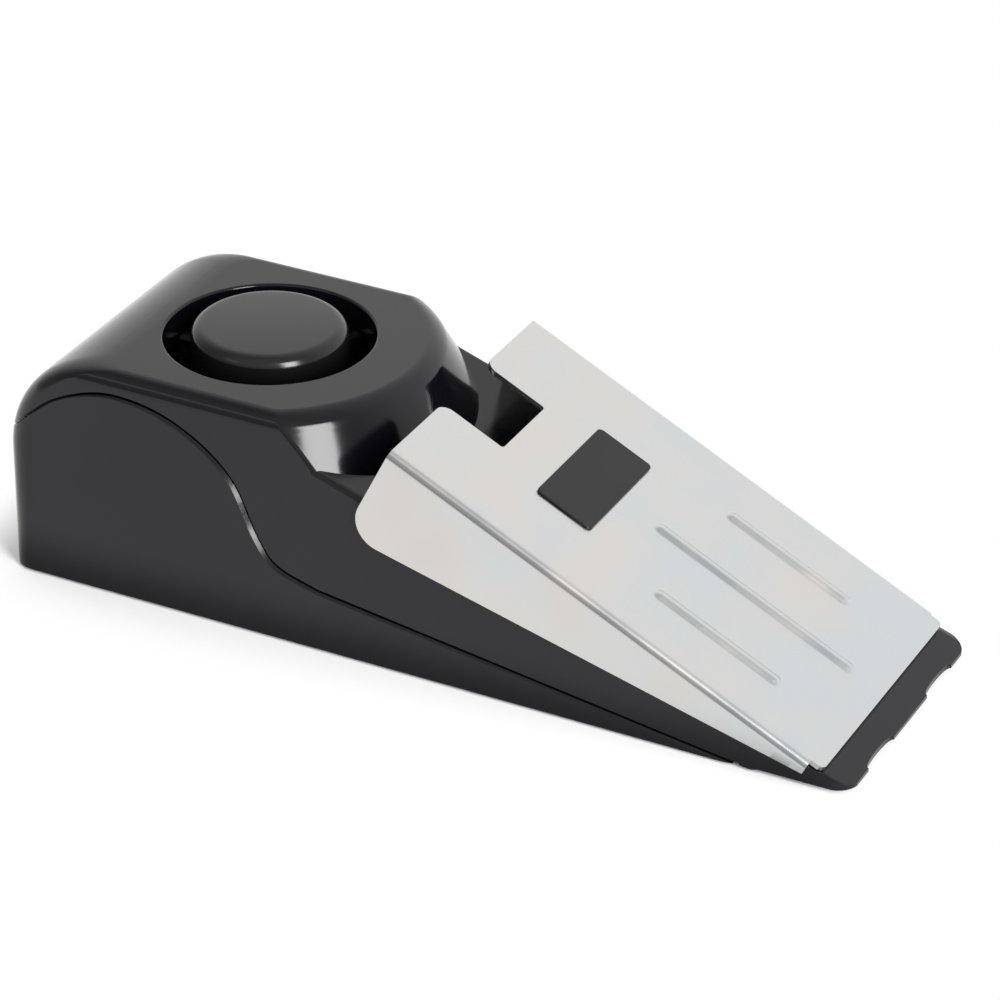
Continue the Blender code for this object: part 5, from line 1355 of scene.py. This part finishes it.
def make_softbox(name, turn, height, width, rise, radiance):
    """Rectangular lamp that the prow mirrors, at a turn and height in degrees from it."""
    turn, height = math.radians(turn), math.radians(height)
    level = SOFTBOX_DISTANCE * math.cos(height)
    target = Vector((DECK_REAR_X, 0.0, TOP_Z))
    away = Vector((level * math.cos(turn), level * math.sin(turn), SOFTBOX_DISTANCE * math.sin(height)))
    size = [2 * SOFTBOX_DISTANCE * math.tan(math.radians(angle) / 2) for angle in (width, rise)]
    make_lamp(name, target + away, target, size, radiance * math.pi * size[0] * size[1])


def make_lamp(name, place, target, size, watts):
    """Soft rectangular lamp aimed at a point."""
    data = bpy.data.lights.new(name, "AREA")
    data.shape = "RECTANGLE"
    data.size, data.size_y = size
    data.energy = watts
    aim = target - place
    new_object(name, data).matrix_world = (
        Matrix.Translation(place) @ aim.to_track_quat("-Z", "Y").to_matrix().to_4x4())


def make_world():
    """White surroundings, which the alarm reflects as bright behind it and dim above and before it."""
    world = bpy.data.worlds.new("studio")
    world.use_nodes = True
    bpy.context.scene.world = world
    tree = world.node_tree
    direction = add_node(tree, "ShaderNodeTexCoord").outputs["Generated"]
    behind = add_node(tree, "ShaderNodeVectorMath", {0: direction, 1: BRIGHT_SIDE}, operation="DOT_PRODUCT")
    reflected = add_node(tree, "ShaderNodeMapRange", {
        "Value": behind.outputs["Value"], "From Min": DIM_FROM, "From Max": BRIGHT_FROM,
        "To Min": DIM_LEVEL, "To Max": BRIGHT_LEVEL}, interpolation_type="SMOOTHSTEP")
    before = add_node(tree, "ShaderNodeVectorMath", {0: direction, 1: FRONT_SIDE}, operation="DOT_PRODUCT")
    front = add_node(tree, "ShaderNodeMapRange", {
        "Value": before.outputs["Value"], "From Min": FRONT_FROM, "From Max": FRONT_FULL,
        "To Max": FRONT_GAIN}, interpolation_type="SMOOTHSTEP")
    both = add_node(tree, "ShaderNodeMath", {0: reflected, 1: front}, operation="ADD")
    path = add_node(tree, "ShaderNodeLightPath").outputs
    lit = add_node(tree, "ShaderNodeMapRange", {
        "Value": path["Is Glossy Ray"], "To Min": DIFFUSE_LEVEL, "To Max": both})
    seen = add_node(tree, "ShaderNodeMath", {
        0: path["Is Camera Ray"], 1: path["Is Transmission Ray"]}, operation="MAXIMUM")
    level = add_node(tree, "ShaderNodeMapRange", {"Value": seen, "To Min": lit, "To Max": 1.0})
    fill(tree.nodes["Background"], {"Color": WHITE, "Strength": level})


def make_floor():
    """Pale floor that keeps the object's shadow close to it and is white further out.

    As the alarm mirrors it, the floor glows, with a painted shadow close to the alarm.
    """
    bm = bmesh.new()
    corners = ((-1, -1), (1, -1), (1, 1), (-1, 1))
    bm.faces.new([bm.verts.new((a * PAPER_HALF, b * PAPER_HALF, 0.0)) for a, b in corners])
    floor = new_piece("pale_floor", bm)
    floor.data.transform(Matrix.Translation((0.0, 0.0, -PAPER_GAP)))
    made, tree, shader = new_material("matt_white_paper")
    fill(shader, {
        "Base Color": linear(PAPER_COLOUR), "Roughness": PAPER_ROUGHNESS, "Specular IOR Level": 0.0})
    place = add_node(tree, "ShaderNodeTexCoord").outputs["Object"]
    shifted = add_node(tree, "ShaderNodeVectorMath", {
        0: place, 1: (NOSE_OPEN / 2, 0.0, 0.0)}, operation="ADD")
    mirrored = add_node(tree, "ShaderNodeVectorMath", {0: shifted}, operation="ABSOLUTE")
    outside = add_node(tree, "ShaderNodeVectorMath", {
        0: mirrored, 1: ((LENGTH - NOSE_OPEN) / 2, WIDTH / 2, 0.0)}, operation="SUBTRACT")
    kept = add_node(tree, "ShaderNodeVectorMath", {0: outside}, operation="MAXIMUM")
    away = add_node(tree, "ShaderNodeVectorMath", {0: kept}, operation="LENGTH")
    fade = add_node(tree, "ShaderNodeMapRange", {
        "Value": away.outputs["Value"], "From Max": SHADOW_REACH}, interpolation_type="SMOOTHSTEP")
    parts = add_node(tree, "ShaderNodeSeparateXYZ", {"Vector": place})
    open_level = add_node(tree, "ShaderNodeMapRange", {
        "Value": parts.outputs["Y"], "From Min": FLOOR_FAR_Y, "From Max": FLOOR_NEAR_Y,
        "To Min": FLOOR_FAR_LEVEL, "To Max": FLOOR_LEVEL}, interpolation_type="SMOOTHSTEP")
    # Painted shadow: the glowing floor that the alarm mirrors is dimmer close to the alarm's outline
    mirrored_level_with_painted_shadow = add_node(tree, "ShaderNodeMapRange", {
        "Value": fade, "To Min": FLOOR_PAINTED_SHADOW_LEVEL, "To Max": open_level})
    path = add_node(tree, "ShaderNodeLightPath").outputs
    level = add_node(tree, "ShaderNodeMapRange", {
        "Value": path["Is Camera Ray"], "To Min": mirrored_level_with_painted_shadow, "To Max": 1.0})
    white = add_node(tree, "ShaderNodeEmission", {"Color": WHITE, "Strength": level})
    seen = add_node(tree, "ShaderNodeMath", {0: fade, 1: path["Is Camera Ray"]}, operation="MULTIPLY")
    share = add_node(tree, "ShaderNodeMath", {0: seen, 1: path["Is Glossy Ray"]}, operation="MAXIMUM")
    mixed = add_node(tree, "ShaderNodeMixShader", {0: share, 1: shader, 2: white})
    fill(tree.nodes["Material Output"], {"Surface": mixed})
    floor.data.materials.append(made)


# Build

# Finishes by record slot. Each is a name, roughness and its swing, the relief's depth, the sizes of grain and
# patches in millimetres and two colours. The blacks have a lower index of refraction than their plastics,
# because that gives the photograph's mirror strength.
FINISHES = {
    # Injection-moulded ABS from a polished mould: deep black, mirrors soft shapes, faint flow marks
    "case_plastic": surface(
        "moulded_black_abs", 0.13, 0.025, 0.0015, 0.5, 14, "#09090E", "#0C0C11", ior=1.39),
    # The same plastic from a less finely polished mould on the cap: its mirror is a little more blurred
    "gloss_plastic": surface(
        "polished_black_abs", 0.19, 0.02, 0.001, 0.5, 9, "#0E0E0F", "#111112", ior=1.43),
    # Cold-rolled stainless sheet, satin: blurred mirror with cloudy patches, a grain along the rolling and a
    # painted dark reflection on its bends
    "steel_plate": surface(
        "satin_rolled_steel", 0.30, 0.09, 0.002, 0.5, 15, "#C2C6C8", "#CBC8C4", metallic=1.0,
        stretch=(0.15, 1.0, 1.0), lean=0.25, painted_bend_reflection=0.5),
    # Anodised black foil: satin, a touch grey, blurs what it mirrors
    "label_foil": surface("black_foil", 0.4, 0.04, 0.001, 0.4, 6, "#101210", "#151715", ior=1.38),
    # Moulded rubber: dull, slightly dusty black with a pebbled skin
    "pad_rubber": surface("moulded_rubber", 0.8, 0.05, 0.02, 0.4, 5, "#202022", "#262628"),
    # Zinc plating: bluish grey metal with fine clouding
    "plated_steel": surface(
        "zinc_plated_steel", 0.35, 0.08, 0.003, 0.3, 2, "#B9BBC0", "#C6C8CC", metallic=1.0),
    # Glass-filled plastic of switches and chips: matt black, faintly mottled
    "dark_plastic": surface("matt_black_plastic", 0.55, 0.05, 0.006, 0.3, 6, "#1C1C1E", "#242426"),
    # White acetal: waxy, slightly yellow
    "pale_plastic": surface("white_acetal", 0.4, 0.05, 0.004, 0.4, 6, "#DEDCD5", "#E4E2DC", ior=1.48),
    # Rolled brass of the siren's disc: warm yellow metal, satin from the rolls
    "brass_disc": surface("rolled_brass", 0.3, 0.06, 0.003, 0.5, 5, "#CDA85A", "#D8B366", metallic=1.0),
    # Green solder mask over a glass weave, whose cells are drawn three times their size
    "board": surface("green_solder_mask", 0.4, 0.06, 0.01, 1.2, 7, "#1B5A34", "#22673D"),
    # Enamelled copper wire, its turns shown as a relief across the coil
    "copper_wire": surface(
        "enamelled_copper_wire", 0.3, 0.05, 0.08, 0.4, 2, "#9E5A32", "#B46B3C", metallic=1.0,
        stretch=(0.1, 0.1, 1.0)),
    # Painted steel can of the battery, with slight orange peel
    "battery_can": surface("painted_battery_can", 0.36, 0.05, 0.004, 0.5, 10, "#3A3A3D", "#424246"),
    # Soft PVC of the leads: clean red, half gloss
    "red_insulation": surface("red_pvc_insulation", 0.45, 0.04, 0.004, 0.4, 4, "#B3201C", "#BE2823"),
    # Open-cell foam: grey, dry and full of pores
    "foam": surface("grey_open_cell_foam", 0.95, 0.03, 0.3, 0.7, 1.5, "#6A6A6C", "#7C7C7E"),
}


def finish_nodes():
    """Every CAD node gets the finish of its slot in the record."""
    for part in frame["record"]["subparts"]:
        paint(frame["nodes"][part["node"]], part["material_slot"])


def dress():
    """Every modelled piece of the alarm."""
    finish_nodes()
    finish_piece(shade(upper_case()), "case", "case_plastic", "upper_case")
    finish_piece(shade(lower_case()), "case", "case_plastic", "lower_case")
    sheet = soften(plate_sheet(), PLATE_EDGE_ROUND, PLATE_EDGE_STEPS, PLATE_EDGE_DEGREES)
    plate = on_plate(shade(join("press_sheet", [sheet, *plate_lugs()]), PLATE_CREASE_DEGREES))
    finish_piece(plate, "plate", "steel_plate", "press_plate")
    finish_piece(shade(plate_label()), "plate", "label_foil", "plate_label")
    finish_piece(shade(sounder_cap()), "case", "gloss_plastic", "sounder_cap")
    webs = sounder_webs(FINISHES["gloss_plastic"])
    finish_piece(shade(webs), "case", "gloss_plastic", "sounder_cap")
    finish_piece(case_screws(FINISHES["plated_steel"]), "case", "plated_steel", *CASE_SCREWS)
    door = battery_door(FINISHES["case_plastic"])
    finish_piece(shade(door), "door", "case_plastic", "battery_door")
    for name in ("grip_pad_front", "grip_pad_left", "grip_pad_right"):
        finish_piece(shade(grip_pad(name, FINISHES["pad_rubber"])), "case", "pad_rubber", name)
    knob = switch_knob(FINISHES["dark_plastic"])
    finish_piece(shade(knob), "knob", "dark_plastic", "slide_switch_knob")
    finish_piece(shade(plunger_stem()), "plunger", "pale_plastic", "plunger")
    finish_piece(shade(nine_volt_battery()), "case", "battery_can", "battery")
    spring = shade(coil_spring(), SPRING_CREASE_DEGREES)
    follow_plunger(finish_piece(spring, "case", "plated_steel", "return_spring"))


def set_stage():
    """Camera, light and floor."""
    make_camera()
    make_world()
    for name, facts in SOFTBOXES.items():
        make_softbox(name, *facts)
    make_floor()
    bpy.context.scene.view_settings.view_transform = "Standard"


dress()
set_stage()
